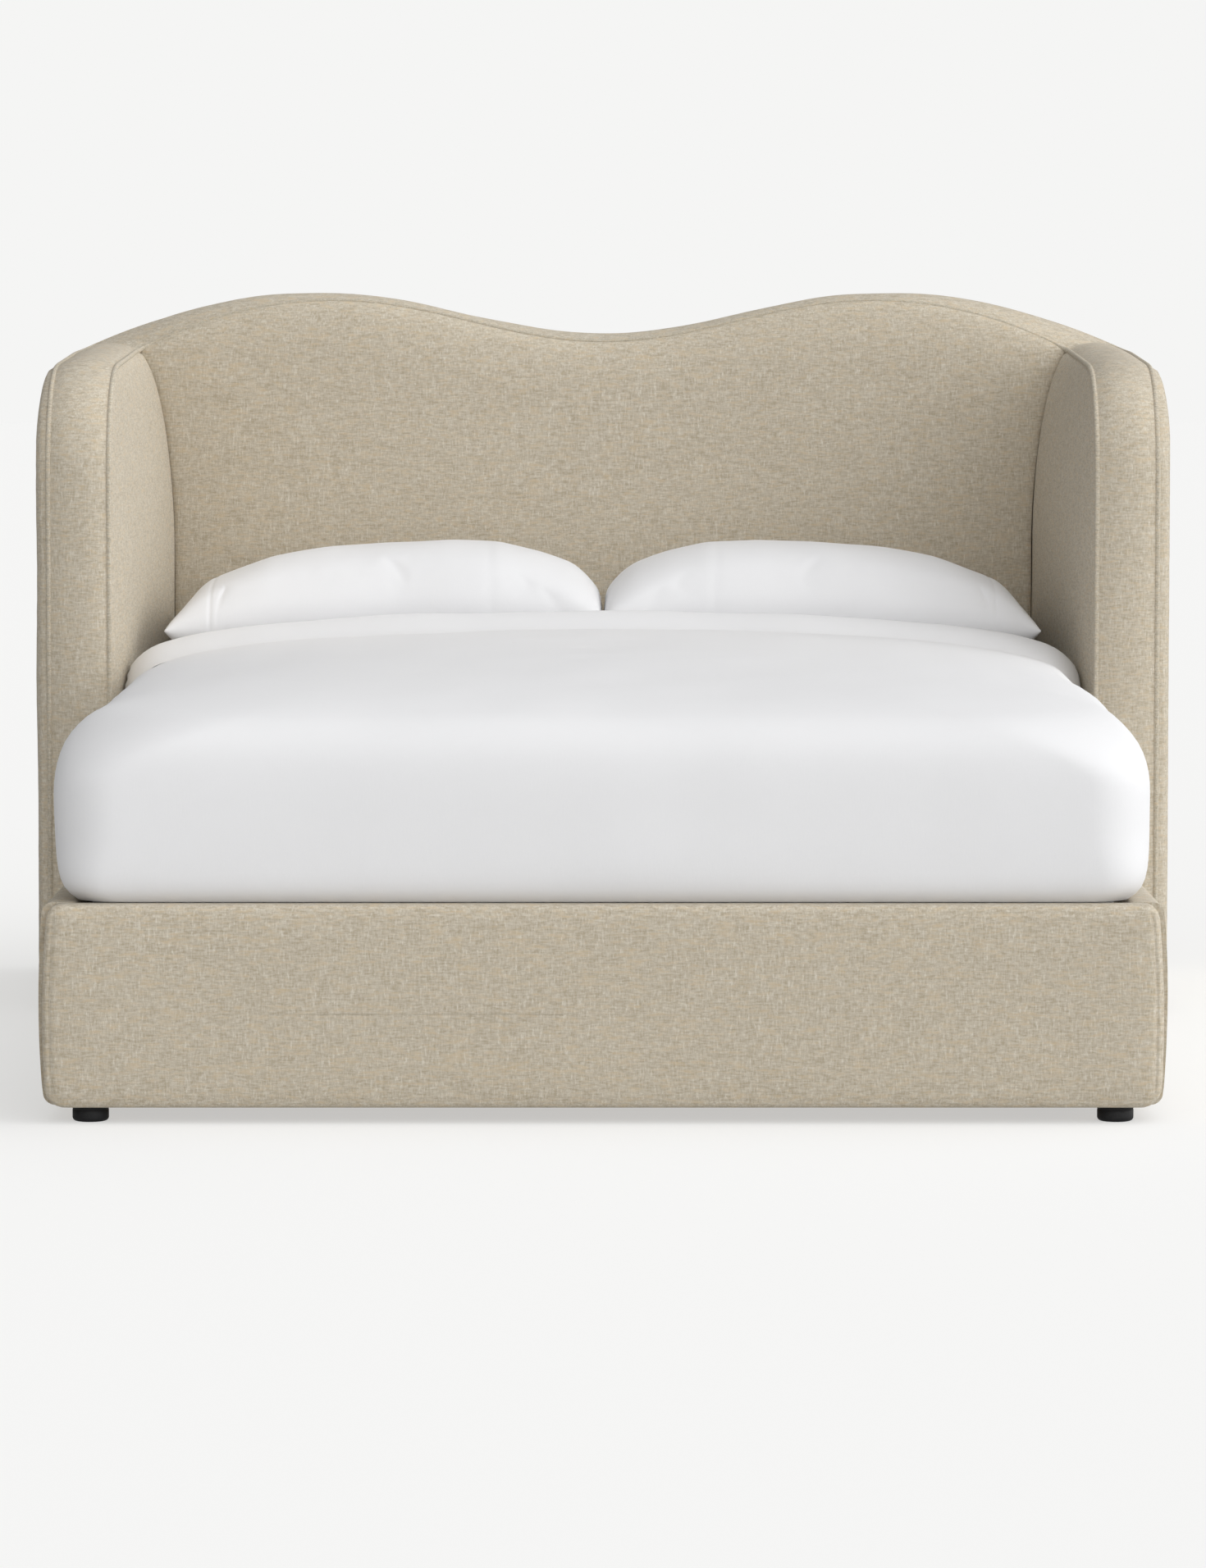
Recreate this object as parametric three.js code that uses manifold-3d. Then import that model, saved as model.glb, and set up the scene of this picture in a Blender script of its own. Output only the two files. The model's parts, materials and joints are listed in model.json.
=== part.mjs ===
// Upholstered wingback bed for a queen mattress, with its bedding.
// Millimetres, +Z up, +Y towards the headboard, X across; the origin is on the floor under the middle.
// Lengths called "depth" run along +Y from the front of the footboard, which is depth 0.
import * as THREE from "three";
import { mergeVertices } from "three/addons/utils/BufferGeometryUtils.js";
import Module from "manifold-3d";

const wasm = await Module();
wasm.setup();

// ---------------------------------------------------------------- driving dimensions
const CLEARANCE = 0.3; // between two pieces that touch
const SEAT = 2; // between two pads that press on each other
const COVER = 3; // fabric with its wadding

const MATTRESS = { width: 1524, length: 2032, thickness: 280, corner: 70, edge: 30 };
const BED = { floorGap: 24, sideTop: 325, sideFit: 9, headFit: 8, footFit: 3 };
const RAIL = { thickness: 58, crown: 6, topRadius: 14, bottomRadius: 18, board: 25, boardInset: 12, boardTop: 300 };
const FOOTBOARD = { thickness: 52, crown: 8, edge: 10, board: 20, cornerRadius: 18, footRadius: 26 };
const SHELL = { thickness: 102, bandCrown: 14, band: 4, railGap: 5, inset: 8, coverInset: 6 };
const BACK = { peak: 1218, peakOffset: 480, centre: 1144, corner: 1127, crown: 35, topRoll: 110, rearCrown: 10 };
const WING = { projection: 671, slope: 0.05, roundLength: 200, roundHeight: 185, roundPower: 2.2 };
const WING_PAD = { fullness: 70, roll: 340, rollPower: 1.8, growth: 0.75, bottom: 335, outerCrown: 26 };
const PIPING = { radius: 4.5, sides: 6 };
const LAYER = { foamBase: 10, panel: 15, frame: 45, backPanel: 5, wingFrame: 56 };
const POST = { width: 69 };
const SLAT = { count: 11, width: 110, thickness: 20, endGap: 6, margin: 60 };
const LEDGER = { width: 30, height: 40 };
const BEAM = { width: 60, height: 60 };
const CENTRE_LEG = { side: 50, depths: [400, 1100, 1800] };
const FOOT = { radius: 27, sole: 21, sideInset: 70, frontDepth: 60, wingInset: 61, rearInset: 82 };
const BLOCK = { width: 58, length: 60, height: 140 };
const BRACKET = { plate: 4, leg: 56, height: 90, bottom: 60 };
const BOLT = { radius: 7, height: 5, edge: 20 };
const DUVET = { bare: 467, frontDrop: 33, sideDrop: 40, loft: 129.4, hem: 6, ease: 2 };
const PILLOW = { width: 756, length: 456, thickness: 258, tilt: 8, gap: 5, headGap: 223 };

// ---------------------------------------------------------------- derived places
const railInner = MATTRESS.width / 2 + BED.sideFit;
const railOuter = railInner + RAIL.thickness;
const innerHalf = railOuter + RAIL.crown + SHELL.railGap;
const outerHalf = innerHalf + SHELL.thickness;
const mattressFront = FOOTBOARD.thickness + BED.footFit;
const mattressRear = mattressFront + MATTRESS.length;
const backPlane = mattressRear + BED.headFit + BACK.crown;
const rearPlane = backPlane + SHELL.thickness;
const wingPlane = backPlane - WING.projection;
const crossing = backPlane - SHELL.thickness; // where the band over a wing starts to turn the corner
const overallLength = rearPlane + BACK.rearCrown;
const panelFront = backPlane + LAYER.foamBase;
const panelRear = panelFront + LAYER.panel;
const frameFront = panelRear + CLEARANCE;
const frameRear = frameFront + LAYER.frame;
const backPanelFront = frameRear + CLEARANCE;
const backPanelRear = backPanelFront + LAYER.backPanel;
const wingFrameInner = innerHalf + LAYER.foamBase;
const wingFrameOuter = wingFrameInner + LAYER.wingFrame;
const underside = BED.floorGap + CLEARANCE;
const ledgerTop = BED.sideTop - 110;
const slatBottom = ledgerTop + CLEARANCE;
const mattressBottom = slatBottom + SLAT.thickness + CLEARANCE;
const mattressTop = mattressBottom + MATTRESS.thickness;

// ---------------------------------------------------------------- finishes
const finish = (color, roughness, metalness = 0) => new THREE.MeshStandardMaterial({ color, roughness, metalness });
const LINEN = () => finish(0xb8ad9a, 0.95);
const PIPED_LINEN = () => finish(0xb2a793, 0.95);
const FOAM = () => finish(0xe9e2c8, 0.9);
const PLYWOOD = () => finish(0xc9a875, 0.7);
const SOFTWOOD = () => finish(0xd2b183, 0.7);
const HARDBOARD = () => finish(0x8a6a48, 0.8);
const STEEL = () => finish(0x3c3e40, 0.5, 0.9);
const BLACK_FOOT = () => finish(0x18181a, 0.45);
const TICKING = () => finish(0xeeeeec, 0.9);
const COTTON = () => finish(0xf4f4f4, 0.85);

const group = new THREE.Group();

/** Adds a named piece to the bed. */
function piece(name, geometry, material) {
  const mesh = new THREE.Mesh(geometry, material);
  mesh.name = name;
  group.add(mesh);
  return mesh;
}

// ---------------------------------------------------------------- shape tools
const place = (x, depth, z) => new THREE.Vector3(x, depth - overallLength / 2, z);
const lerp = THREE.MathUtils.lerp;
const steps = (from, to, count) => Array.from({ length: count + 1 }, (_, i) => lerp(from, to, i / count));

/** Rises from 0 to 1 along a quarter of a superellipse. */
const roll = (t, power) => (1 - (1 - THREE.MathUtils.clamp(t, 0, 1)) ** power) ** (1 / power);

/** A closed geometry from points and triangles, turned to face outwards. */
function closed(points, triangles) {
  const volume = triangles.reduce((sum, [a, b, c]) => {
    return sum + points[a].dot(new THREE.Vector3().crossVectors(points[b], points[c]));
  }, 0);
  const faces = volume < 0 ? triangles.map(([a, b, c]) => [a, c, b]) : triangles;
  const geometry = new THREE.BufferGeometry().setFromPoints(points);
  geometry.setIndex(faces.flat());
  geometry.computeVertexNormals();
  return geometry;
}

/** The solid between two sheets over one grid: front(column, row) and back(column, row) give points. */
function between(columns, rows, front, back) {
  const width = rows.length;
  const points = [];
  for (const sheet of [front, back]) {
    for (const column of columns) {
      for (const row of rows) points.push(sheet(column, row));
    }
  }
  const offset = columns.length * width;
  const at = (i, j) => i * width + j;
  const triangles = [];
  const quad = (a, b, c, d) => triangles.push([a, b, c], [a, c, d]);
  for (let i = 0; i + 1 < columns.length; i++) {
    for (let j = 0; j + 1 < width; j++) {
      quad(at(i, j), at(i + 1, j), at(i + 1, j + 1), at(i, j + 1));
      quad(offset + at(i, j), offset + at(i, j + 1), offset + at(i + 1, j + 1), offset + at(i + 1, j));
    }
  }
  const rim = [];
  for (let i = 0; i + 1 < columns.length; i++) rim.push(at(i, 0));
  for (let j = 0; j + 1 < width; j++) rim.push(at(columns.length - 1, j));
  for (let i = columns.length - 1; i > 0; i--) rim.push(at(i, width - 1));
  for (let j = width - 1; j > 0; j--) rim.push(at(0, j));
  rim.forEach((a, k) => {
    const b = rim[(k + 1) % rim.length];
    quad(b, a, offset + a, offset + b);
  });
  return closed(points, triangles);
}

/** The solid skinned over rings of points, with a fan closing the first ring and the last. */
function skin(rings) {
  const count = rings[0].length;
  const points = rings.flat();
  const triangles = [];
  for (let r = 0; r + 1 < rings.length; r++) {
    for (let i = 0; i < count; i++) {
      const j = (i + 1) % count;
      const [a, b, c, d] = [r * count + i, r * count + j, (r + 1) * count + j, (r + 1) * count + i];
      triangles.push([a, b, c], [a, c, d]);
    }
  }
  for (const [first, turned] of [[0, true], [(rings.length - 1) * count, false]]) {
    const hub = points.length;
    const middle = new THREE.Vector3();
    for (let i = 0; i < count; i++) middle.addScaledVector(points[first + i], 1 / count);
    points.push(middle);
    for (let i = 0; i < count; i++) {
      const [a, b] = [first + i, first + ((i + 1) % count)];
      triangles.push(turned ? [hub, b, a] : [hub, a, b]);
    }
  }
  return closed(points, triangles);
}

/** Points round a rectangle with rounded corners; radii run from the lower left, anticlockwise. */
function roundedRectangle(low, high, radii, perCorner) {
  const corners = [
    [low.x, low.y, 1, 1, Math.PI],
    [high.x, low.y, -1, 1, 1.5 * Math.PI],
    [high.x, high.y, -1, -1, 0],
    [low.x, high.y, 1, -1, 0.5 * Math.PI],
  ];
  return corners.flatMap(([x, y, inX, inY, start], k) => {
    const centre = new THREE.Vector2(x + inX * radii[k], y + inY * radii[k]);
    return steps(start, start + Math.PI / 2, perCorner).map((angle) => {
      return new THREE.Vector2(centre.x + radii[k] * Math.cos(angle), centre.y + radii[k] * Math.sin(angle));
    });
  });
}

/** A block between two corners given as x, depth and height. */
function block(low, high) {
  const size = high.map((value, k) => value - low[k]);
  const geometry = new THREE.BoxGeometry(...size);
  const middle = place(...low).add(place(...high)).multiplyScalar(0.5);
  return geometry.translate(middle.x, middle.y, middle.z);
}

/** A plate cut to an outline of depth and height, from one x to another on one side of the bed. */
function sidePlate(outline, side, inner, outer) {
  const shape = new THREE.Shape(outline);
  const geometry = new THREE.ExtrudeGeometry(shape, { depth: outer - inner, bevelEnabled: false });
  const toWorld = new THREE.Matrix4().set(0, 0, 1, 0, 1, 0, 0, -overallLength / 2, 0, 1, 0, 0, 0, 0, 0, 1);
  geometry.applyMatrix4(toWorld);
  return geometry.translate(side > 0 ? inner : -outer, 0, 0);
}

/** A board cut to an outline of x and height, from one depth to another. */
function frontBoard(outline, front, rear) {
  const shape = new THREE.Shape(outline);
  const geometry = new THREE.ExtrudeGeometry(shape, { depth: rear - front, bevelEnabled: false });
  const toWorld = new THREE.Matrix4().set(1, 0, 0, 0, 0, 0, -1, rear - overallLength / 2, 0, 1, 0, 0, 0, 0, 0, 1);
  return geometry.applyMatrix4(toWorld);
}

/** A geometry as a solid that can be cut and joined. */
function solid(geometry) {
  const bare = geometry.clone().toNonIndexed();
  bare.deleteAttribute("normal");
  bare.deleteAttribute("uv");
  const merged = mergeVertices(bare, 1e-3);
  const vertProperties = new Float32Array(merged.attributes.position.array);
  const triVerts = new Uint32Array(merged.index.array);
  return new wasm.Manifold(new wasm.Mesh({ numProp: 3, vertProperties, triVerts }));
}

/** A solid as a geometry again. */
function geometryOf(made) {
  const mesh = made.getMesh();
  const geometry = new THREE.BufferGeometry();
  geometry.setAttribute("position", new THREE.BufferAttribute(mesh.vertProperties, 3));
  geometry.setIndex(new THREE.BufferAttribute(mesh.triVerts, 1));
  geometry.computeVertexNormals();
  return geometry;
}

// ---------------------------------------------------------------- outline of the headboard and wings
/** Shares of the headboard's half width where its band, piping and padding all have a point. */
const BACK_COLUMNS = steps(-1, 1, 22);

/** Height of the headboard's waved top edge, for u from -1 at one corner to 1 at the other. */
function waveHeight(u) {
  const t = Math.min(Math.abs(u), 1);
  const peak = BACK.peakOffset / innerHalf;
  if (t < peak) return BACK.centre + (BACK.peak - BACK.centre) * (1 - Math.cos((Math.PI * t) / peak)) / 2;
  return BACK.peak - (BACK.peak - BACK.corner) * ((t - peak) / (1 - peak)) ** 2.1;
}

/** Height of the border band over a point of the headboard's top. */
const bandHeight = (x, depth) => waveHeight(x / (innerHalf + Math.max(depth - backPlane, 0)));

/** Height over a point of the headboard's top of a line inset squarely from the band. */
function backInset(x, depth, inset) {
  const reach = SHELL.inset;
  const rise = bandHeight(x + reach, depth) - bandHeight(x - reach, depth);
  return bandHeight(x, depth) - inset * Math.hypot(1, rise / (2 * reach));
}

/** Height of a wing's top edge at a depth, or of a line inset from it downwards and backwards. */
function wingTop(depth, inset = 0) {
  const along = depth - inset;
  const line = BACK.corner - WING.slope * Math.max(backPlane - along, 0);
  const t = (along - wingPlane) / WING.roundLength;
  return line - WING.roundHeight * (1 - roll(t, WING.roundPower)) - inset;
}

/** Height of the outer piping of a wing: level with the inner one, then straight to the rear corner. */
function outerTop(depth, inset = 0) {
  if (depth <= crossing) return wingTop(depth, inset);
  const t = (depth - crossing) / (rearPlane - crossing);
  return lerp(wingTop(crossing, inset), BACK.corner - inset, t);
}

/** How far the padding of a wing stands in from its piping. */
function wingBulge(depth, z) {
  const along = THREE.MathUtils.clamp((depth - wingPlane) / (backPlane - wingPlane), 0, 1);
  return WING_PAD.fullness * roll((wingTop(depth) - z) / WING_PAD.roll, WING_PAD.rollPower) * along ** WING_PAD.growth;
}

/** Half the width between the wing pads where they meet the headboard's pad. */
const seamHalf = (z) => innerHalf - wingBulge(backPlane, z);

/** Depths along a wing, close together where its front corner is round. */
function wingDepths(inset, end) {
  const round = steps(0, Math.PI / 2, 6).map((a) => WING.roundLength * (1 - Math.cos(a) ** (2 / WING.roundPower)));
  const depths = round.map((value) => wingPlane + value + inset);
  return [...depths, lerp(depths.at(-1), end, 0.5), end];
}

/** A wing's outline of depth and height, inset from the border band. */
function wingOutline(inset, end) {
  const depths = wingDepths(inset, end);
  const top = depths.map((depth) => new THREE.Vector2(depth, wingTop(depth, inset)));
  return [new THREE.Vector2(depths[0], underside), new THREE.Vector2(end, underside), ...top.reverse()];
}

/** Points where the border band crosses from its inner edge to its outer edge, on one side, front to back. */
function wingStations(side) {
  const at = (depth, z, outerDepth = depth) => ({
    inner: place(side * innerHalf, depth, z),
    outer: place(side * outerHalf, outerDepth, z),
  });
  const front = [at(wingPlane, BED.floorGap), at(wingPlane, wingTop(wingPlane) / 2)];
  const round = wingDepths(0, backPlane).slice(0, 7).map((depth) => at(depth, wingTop(depth)));
  const middle = lerp(wingPlane + WING.roundLength, crossing, 0.5);
  const top = [middle, crossing].map((depth) => at(depth, wingTop(depth)));
  return [...front, ...round, ...top];
}

/** The whole run of the border band, from the foot of one wing over the headboard to the foot of the other. */
function borderStations() {
  const back = BACK_COLUMNS.map((u) => ({
    inner: place(u * innerHalf, backPlane, waveHeight(u)),
    outer: place(u * outerHalf, rearPlane, waveHeight(u)),
  }));
  return [...wingStations(-1), ...back, ...wingStations(1).reverse()];
}

/** Direction square to the border band at each station, pointing out of the bed. */
function bandNormals(stations) {
  return stations.map((station, i) => {
    const before = stations[Math.max(i - 1, 0)];
    const after = stations[Math.min(i + 1, stations.length - 1)];
    const run = new THREE.Vector3().subVectors(after.inner, before.inner);
    const across = new THREE.Vector3().subVectors(station.outer, station.inner);
    return new THREE.Vector3().crossVectors(run, across).normalize();
  });
}

// ---------------------------------------------------------------- headboard
/** The waved outline of a headboard layer, of x and height, below the band over both its faces. */
function backOutline(half, bottom, inset, front, rear) {
  const top = steps(-half, half, 24).map((x) => {
    const height = Math.min(backInset(x, front, inset), backInset(x, rear, inset));
    return new THREE.Vector2(x, height);
  });
  return [new THREE.Vector2(-half, bottom), new THREE.Vector2(half, bottom), ...top.reverse()];
}

/** Ply, posts, rails and hardboard that the headboard's padding is stretched over. */
function headboardFrame() {
  const half = wingFrameInner - CLEARANCE;
  const postInner = half - POST.width;
  const postTop = BACK.corner - 2 * SHELL.inset;
  const railEnd = postInner - CLEARANCE;
  const panel = backOutline(half, underside, SHELL.inset, panelFront, panelRear);
  piece("headboard_panel", frontBoard(panel, panelFront, panelRear), PLYWOOD());
  for (const [name, side] of [["left", -1], ["right", 1]]) {
    const [low, high] = side < 0 ? [-half, -postInner] : [postInner, half];
    const post = block([low, frameFront, underside], [high, frameRear, postTop]);
    piece(`headboard_${name}_post`, post, SOFTWOOD());
  }
  const topRail = backOutline(railEnd, BACK.centre - 120, SHELL.inset, frameFront, frameRear);
  piece("headboard_top_rail", frontBoard(topRail, frameFront, frameRear), SOFTWOOD());
  const lowRail = block([-railEnd, frameFront, underside], [railEnd, frameRear, BED.sideTop]);
  piece("headboard_bottom_rail", lowRail, SOFTWOOD());
  const back = backOutline(wingFrameOuter, underside, SHELL.inset, backPanelFront, backPanelRear);
  piece("headboard_back_panel", frontBoard(back, backPanelFront, backPanelRear), HARDBOARD());
}

/** A point of the headboard's front padding; u runs across and v from its foot to its waved edge. */
function backPadPoint(u, v, inset, sink) {
  const top = waveHeight(u) - inset;
  const z = lerp(WING_PAD.bottom, top, v);
  const x = u * (seamHalf(Math.min(z, BACK.corner)) - SEAT);
  const crown = BACK.crown * roll((waveHeight(u) - z) / BACK.topRoll, 2) * (1 - 0.45 * Math.abs(u) ** 5);
  return place(x, backPlane - crown + sink, z);
}

/** The headboard's front foam, its fabric, and the padded fabric across its back. */
function headboardPadding() {
  const columns = BACK_COLUMNS;
  const rows = [0, 0.35, 0.6, 0.75, 0.86, 0.94, 0.98, 1];
  const foamRear = (u, v) => {
    const front = backPadPoint(u, v, SHELL.inset, 0);
    return place(front.x, panelFront - CLEARANCE, front.z);
  };
  const foamFront = (u, v) => backPadPoint(u, v, SHELL.inset, COVER + SEAT);
  piece("headboard_foam", between(columns, rows, foamFront, foamRear), FOAM());
  const coverFront = (u, v) => backPadPoint(u, v, SHELL.coverInset, 0);
  const coverRear = (u, v) => backPadPoint(u, v, SHELL.coverInset, COVER);
  piece("headboard_front_cover", between(columns, rows, coverFront, coverRear), LINEN());

  const outerColumns = BACK_COLUMNS.map((u) => u * outerHalf).filter((x) => Math.abs(x) < wingFrameOuter);
  const rearColumns = [-wingFrameOuter, ...outerColumns, wingFrameOuter];
  const rearPoint = (x, v, depth) => {
    const height = backInset(x, rearPlane, SHELL.coverInset);
    return place(x, depth, lerp(BED.floorGap, height, v));
  };
  const swell = (t) => Math.sin(Math.PI * THREE.MathUtils.clamp(t, 0, 1)) ** 0.5;
  const rearRows = [0, 0.15, 0.5, 0.85, 0.96, 1];
  const outerFace = (x, v) => {
    const across = (x / wingFrameOuter + 1) / 2;
    return rearPoint(x, v, rearPlane + BACK.rearCrown * swell(v) * swell(across));
  };
  const innerFace = (x, v) => {
    const height = backInset(x, backPanelRear, SHELL.inset);
    const flat = rearPoint(x, v, backPanelRear + CLEARANCE);
    return flat.setZ(Math.min(flat.z, height));
  };
  piece("headboard_back_cover", between(rearColumns, rearRows, outerFace, innerFace), LINEN());
}

// ---------------------------------------------------------------- border band and piping
/** The fabric band that runs round the edge of the wings and headboard, crowned between its pipings. */
function borderBand() {
  const stations = borderStations();
  const normals = bandNormals(stations);
  const margin = (PIPING.radius + 0.5) / SHELL.thickness;
  const rows = steps(margin, 1 - margin, 4);
  const lift = (v) => SHELL.bandCrown * (1 - (2 * v - 1) ** 2);
  const sheet = (sink) => (i, v) => {
    const { inner, outer } = stations[i];
    return new THREE.Vector3().lerpVectors(inner, outer, v).addScaledVector(normals[i], lift(v) - sink);
  };
  const columns = stations.map((_, i) => i);
  piece("border_band", between(columns, rows, sheet(0), sheet(SHELL.band)), LINEN());
}

/** A round cord along a run of points, its section carried on without twisting. */
function cordAlong(points) {
  let first = new THREE.Vector3(1, 0, 0);
  const rings = points.map((point, i) => {
    const before = points[Math.max(i - 1, 0)];
    const after = points[Math.min(i + 1, points.length - 1)];
    const along = new THREE.Vector3().subVectors(after, before).normalize();
    first = first.clone().addScaledVector(along, -first.dot(along)).normalize();
    const second = new THREE.Vector3().crossVectors(along, first);
    return steps(0, 2 * Math.PI, PIPING.sides).slice(0, -1).map((angle) => {
      return point.clone()
        .addScaledVector(first, PIPING.radius * Math.cos(angle))
        .addScaledVector(second, PIPING.radius * Math.sin(angle));
    });
  });
  return skin(rings);
}

/** Piping along both edges of the border band. */
function pipings() {
  const stations = borderStations();
  piece("inner_piping", cordAlong(stations.map(({ inner }) => inner)), PIPED_LINEN());
  piece("outer_piping", cordAlong(stations.map(({ outer }) => outer)), PIPED_LINEN());
}

// ---------------------------------------------------------------- wings
/** Columns of depth for a wing's padding, from just behind its front piping to the headboard. */
function wingColumns(inset, end) {
  const depths = wingDepths(inset, end);
  return [...depths.slice(0, -1), lerp(depths.at(-2), end, 0.6), end];
}

/** A point of a wing's inner padding. */
function wingPadPoint(side, depth, v, inset, sink) {
  const z = lerp(WING_PAD.bottom, wingTop(depth, inset), v);
  return place(side * (innerHalf - wingBulge(depth, z) + sink), depth, z);
}

/** One wing: its frame, the foam and fabric inside it, and the padded fabric outside it. */
function wing(name, side) {
  const frame = wingOutline(SHELL.inset, backPanelFront - CLEARANCE);
  piece(`${name}_wing_frame`, sidePlate(frame, side, wingFrameInner, wingFrameOuter), PLYWOOD());

  const rows = [0, 0.4, 0.7, 0.86, 0.95, 1];
  const foamEnd = panelFront - CLEARANCE;
  const foamFace = (depth, v) => wingPadPoint(side, depth, v, SHELL.inset, COVER + SEAT);
  const foamBase = (depth, v) => {
    const face = wingPadPoint(side, depth, v, SHELL.inset, 0);
    return face.setX(side * (wingFrameInner - CLEARANCE));
  };
  const foam = between(wingColumns(SHELL.inset, foamEnd), rows, foamFace, foamBase);
  piece(`${name}_wing_foam`, foam, FOAM());

  const coverFace = (depth, v) => wingPadPoint(side, depth, v, SHELL.coverInset, 0);
  const coverBack = (depth, v) => wingPadPoint(side, depth, v, SHELL.coverInset, COVER);
  const cover = between(wingColumns(SHELL.coverInset, foamEnd), rows, coverFace, coverBack);
  piece(`${name}_wing_inner_cover`, cover, LINEN());

  const end = rearPlane - SHELL.coverInset;
  const swell = (t) => Math.sin(Math.PI * THREE.MathUtils.clamp(t, 0, 1)) ** 0.45;
  const outerPoint = (depth, v, x) => {
    return place(side * x, depth, lerp(BED.floorGap, outerTop(depth, SHELL.coverInset), v));
  };
  const outerFace = (depth, v) => {
    const along = (depth - wingPlane) / (end - wingPlane);
    return outerPoint(depth, v, outerHalf + WING_PAD.outerCrown * swell(along) * swell(v));
  };
  const outerBase = (depth, v) => outerPoint(depth, v, wingFrameOuter + CLEARANCE);
  const outerRows = [0, 0.06, 0.3, 0.65, 0.92, 1];
  const round = wingDepths(SHELL.coverInset, end).slice(0, -2);
  const columns = [...round, lerp(round.at(-1), crossing, 0.5), crossing, end];
  const outer = between(columns, outerRows, outerFace, outerBase);
  piece(`${name}_wing_outer_cover`, outer, LINEN());
}

// ---------------------------------------------------------------- side rails and footboard
/** A rail's wrapped outline from its inner foot over the top to its outer foot, inset by a layer. */
function railPath(inset) {
  const { thickness, crown, topRadius, bottomRadius } = RAIL;
  const top = BED.sideTop - inset;
  const arc = (x, z, radius, from, to, count) => steps(from, to, count).map((angle) => {
    return new THREE.Vector2(x + radius * Math.cos(angle), z + radius * Math.sin(angle));
  });
  const round = topRadius - inset;
  const under = bottomRadius - inset;
  const low = BED.floorGap + bottomRadius;
  const high = BED.sideTop - topRadius;
  const side = [0.75, 0.5, 0.25].map((t) => {
    return new THREE.Vector2(thickness - inset + crown * Math.sin(Math.PI * t), lerp(low, high, t));
  });
  return [
    new THREE.Vector2(inset, BED.floorGap + inset),
    ...arc(topRadius, high, round, Math.PI, Math.PI / 2, 3),
    ...arc(thickness - topRadius, high, round, Math.PI / 2, 0, 3).map((p) => p.setY(Math.min(p.y, top))),
    ...side,
    ...arc(thickness - bottomRadius, low, under, 0, -Math.PI / 2, 3),
  ];
}

/** A length of rail wrapping, between two of its outlines, laid along one side of the bed. */
function railWrap(side, outerPath, innerPath, front, rear) {
  const outline = [...outerPath, ...innerPath.reverse()].map((p) => new THREE.Vector2(side * (railInner + p.x), p.y));
  return frontBoard(outline, front, rear);
}

/** One side rail: board, foam, fabric and the ledger that carries the slats. */
function sideRail(name, side) {
  const front = FOOTBOARD.thickness + CLEARANCE;
  const rear = panelFront - CLEARANCE;
  const acrossRail = (low, high, from, to, bottom, top) => {
    const [left, right] = side < 0 ? [-high, -low] : [low, high];
    return block([left, from, bottom], [right, to, top]);
  };
  const boardInner = railInner + RAIL.boardInset;
  const boardOuter = boardInner + RAIL.board;
  piece(`${name}_rail_board`, acrossRail(boardInner, boardOuter, front, rear, underside, RAIL.boardTop), PLYWOOD());
  const boardPath = [
    new THREE.Vector2(RAIL.boardInset - CLEARANCE, BED.floorGap + COVER + CLEARANCE),
    new THREE.Vector2(RAIL.boardInset - CLEARANCE, RAIL.boardTop + CLEARANCE),
    new THREE.Vector2(RAIL.boardInset + RAIL.board + CLEARANCE, RAIL.boardTop + CLEARANCE),
    new THREE.Vector2(RAIL.boardInset + RAIL.board + CLEARANCE, BED.floorGap + COVER + CLEARANCE),
  ];
  const foam = railWrap(side, railPath(COVER + CLEARANCE), boardPath, front, rear);
  piece(`${name}_rail_foam`, foam, FOAM());
  piece(`${name}_rail_cover`, railWrap(side, railPath(0), railPath(COVER), front, rear), LINEN());
  const ledgerOuter = railInner - CLEARANCE;
  const ledgerFront = FOOTBOARD.thickness + BLOCK.length;
  const ledger = acrossRail(
    ledgerOuter - LEDGER.width, ledgerOuter, ledgerFront, rear, ledgerTop - LEDGER.height, ledgerTop,
  );
  piece(`${name}_slat_ledger`, ledger, SOFTWOOD());
}

/** A ring round the footboard at one depth, inset evenly and crowned in at the sides. */
function footboardRing(depth, inset, bulge = 0) {
  const half = railOuter - inset;
  const low = new THREE.Vector2(-half, BED.floorGap + inset);
  const high = new THREE.Vector2(half, BED.sideTop - inset);
  const corner = Math.max(FOOTBOARD.cornerRadius - inset, 4);
  const foot = Math.max(FOOTBOARD.footRadius - inset, 5);
  return roundedRectangle(low, high, [foot, foot, corner, corner], 3).map((p) => {
    const height = (p.y - BED.floorGap) / (BED.sideTop - BED.floorGap);
    return place(p.x + Math.sign(p.x) * bulge * Math.sin(Math.PI * height), depth, p.y);
  });
}

/** The footboard: board, crowned foam, and the fabric wrapped over front and edges. */
function footboard() {
  const { thickness, crown, edge } = FOOTBOARD;
  const half = railOuter - COVER - FOOTBOARD.footRadius;
  const boardFront = thickness - FOOTBOARD.board;
  piece("footboard_board", block([-half, boardFront, underside + 2 * COVER], [half, thickness, RAIL.boardTop]), PLYWOOD());
  const skinDepth = COVER + CLEARANCE;
  piece("footboard_foam", skin([
    footboardRing(boardFront - CLEARANCE, skinDepth + 1),
    footboardRing(crown + skinDepth, skinDepth + 1),
    footboardRing(crown / 2 + skinDepth, edge + skinDepth),
    footboardRing(skinDepth, 5 * edge),
  ]), FOAM());
  piece("footboard_cover", skin([
    footboardRing(COVER, 5 * edge),
    footboardRing(crown / 2 + COVER, edge + COVER),
    footboardRing(crown + COVER, COVER + 1),
    footboardRing(thickness, COVER),
    footboardRing(thickness, 0, RAIL.crown / 2),
    footboardRing(crown + 6, 0, RAIL.crown / 2),
    footboardRing(crown / 2, edge),
    footboardRing(0, 5 * edge),
  ]), LINEN());
}

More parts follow.
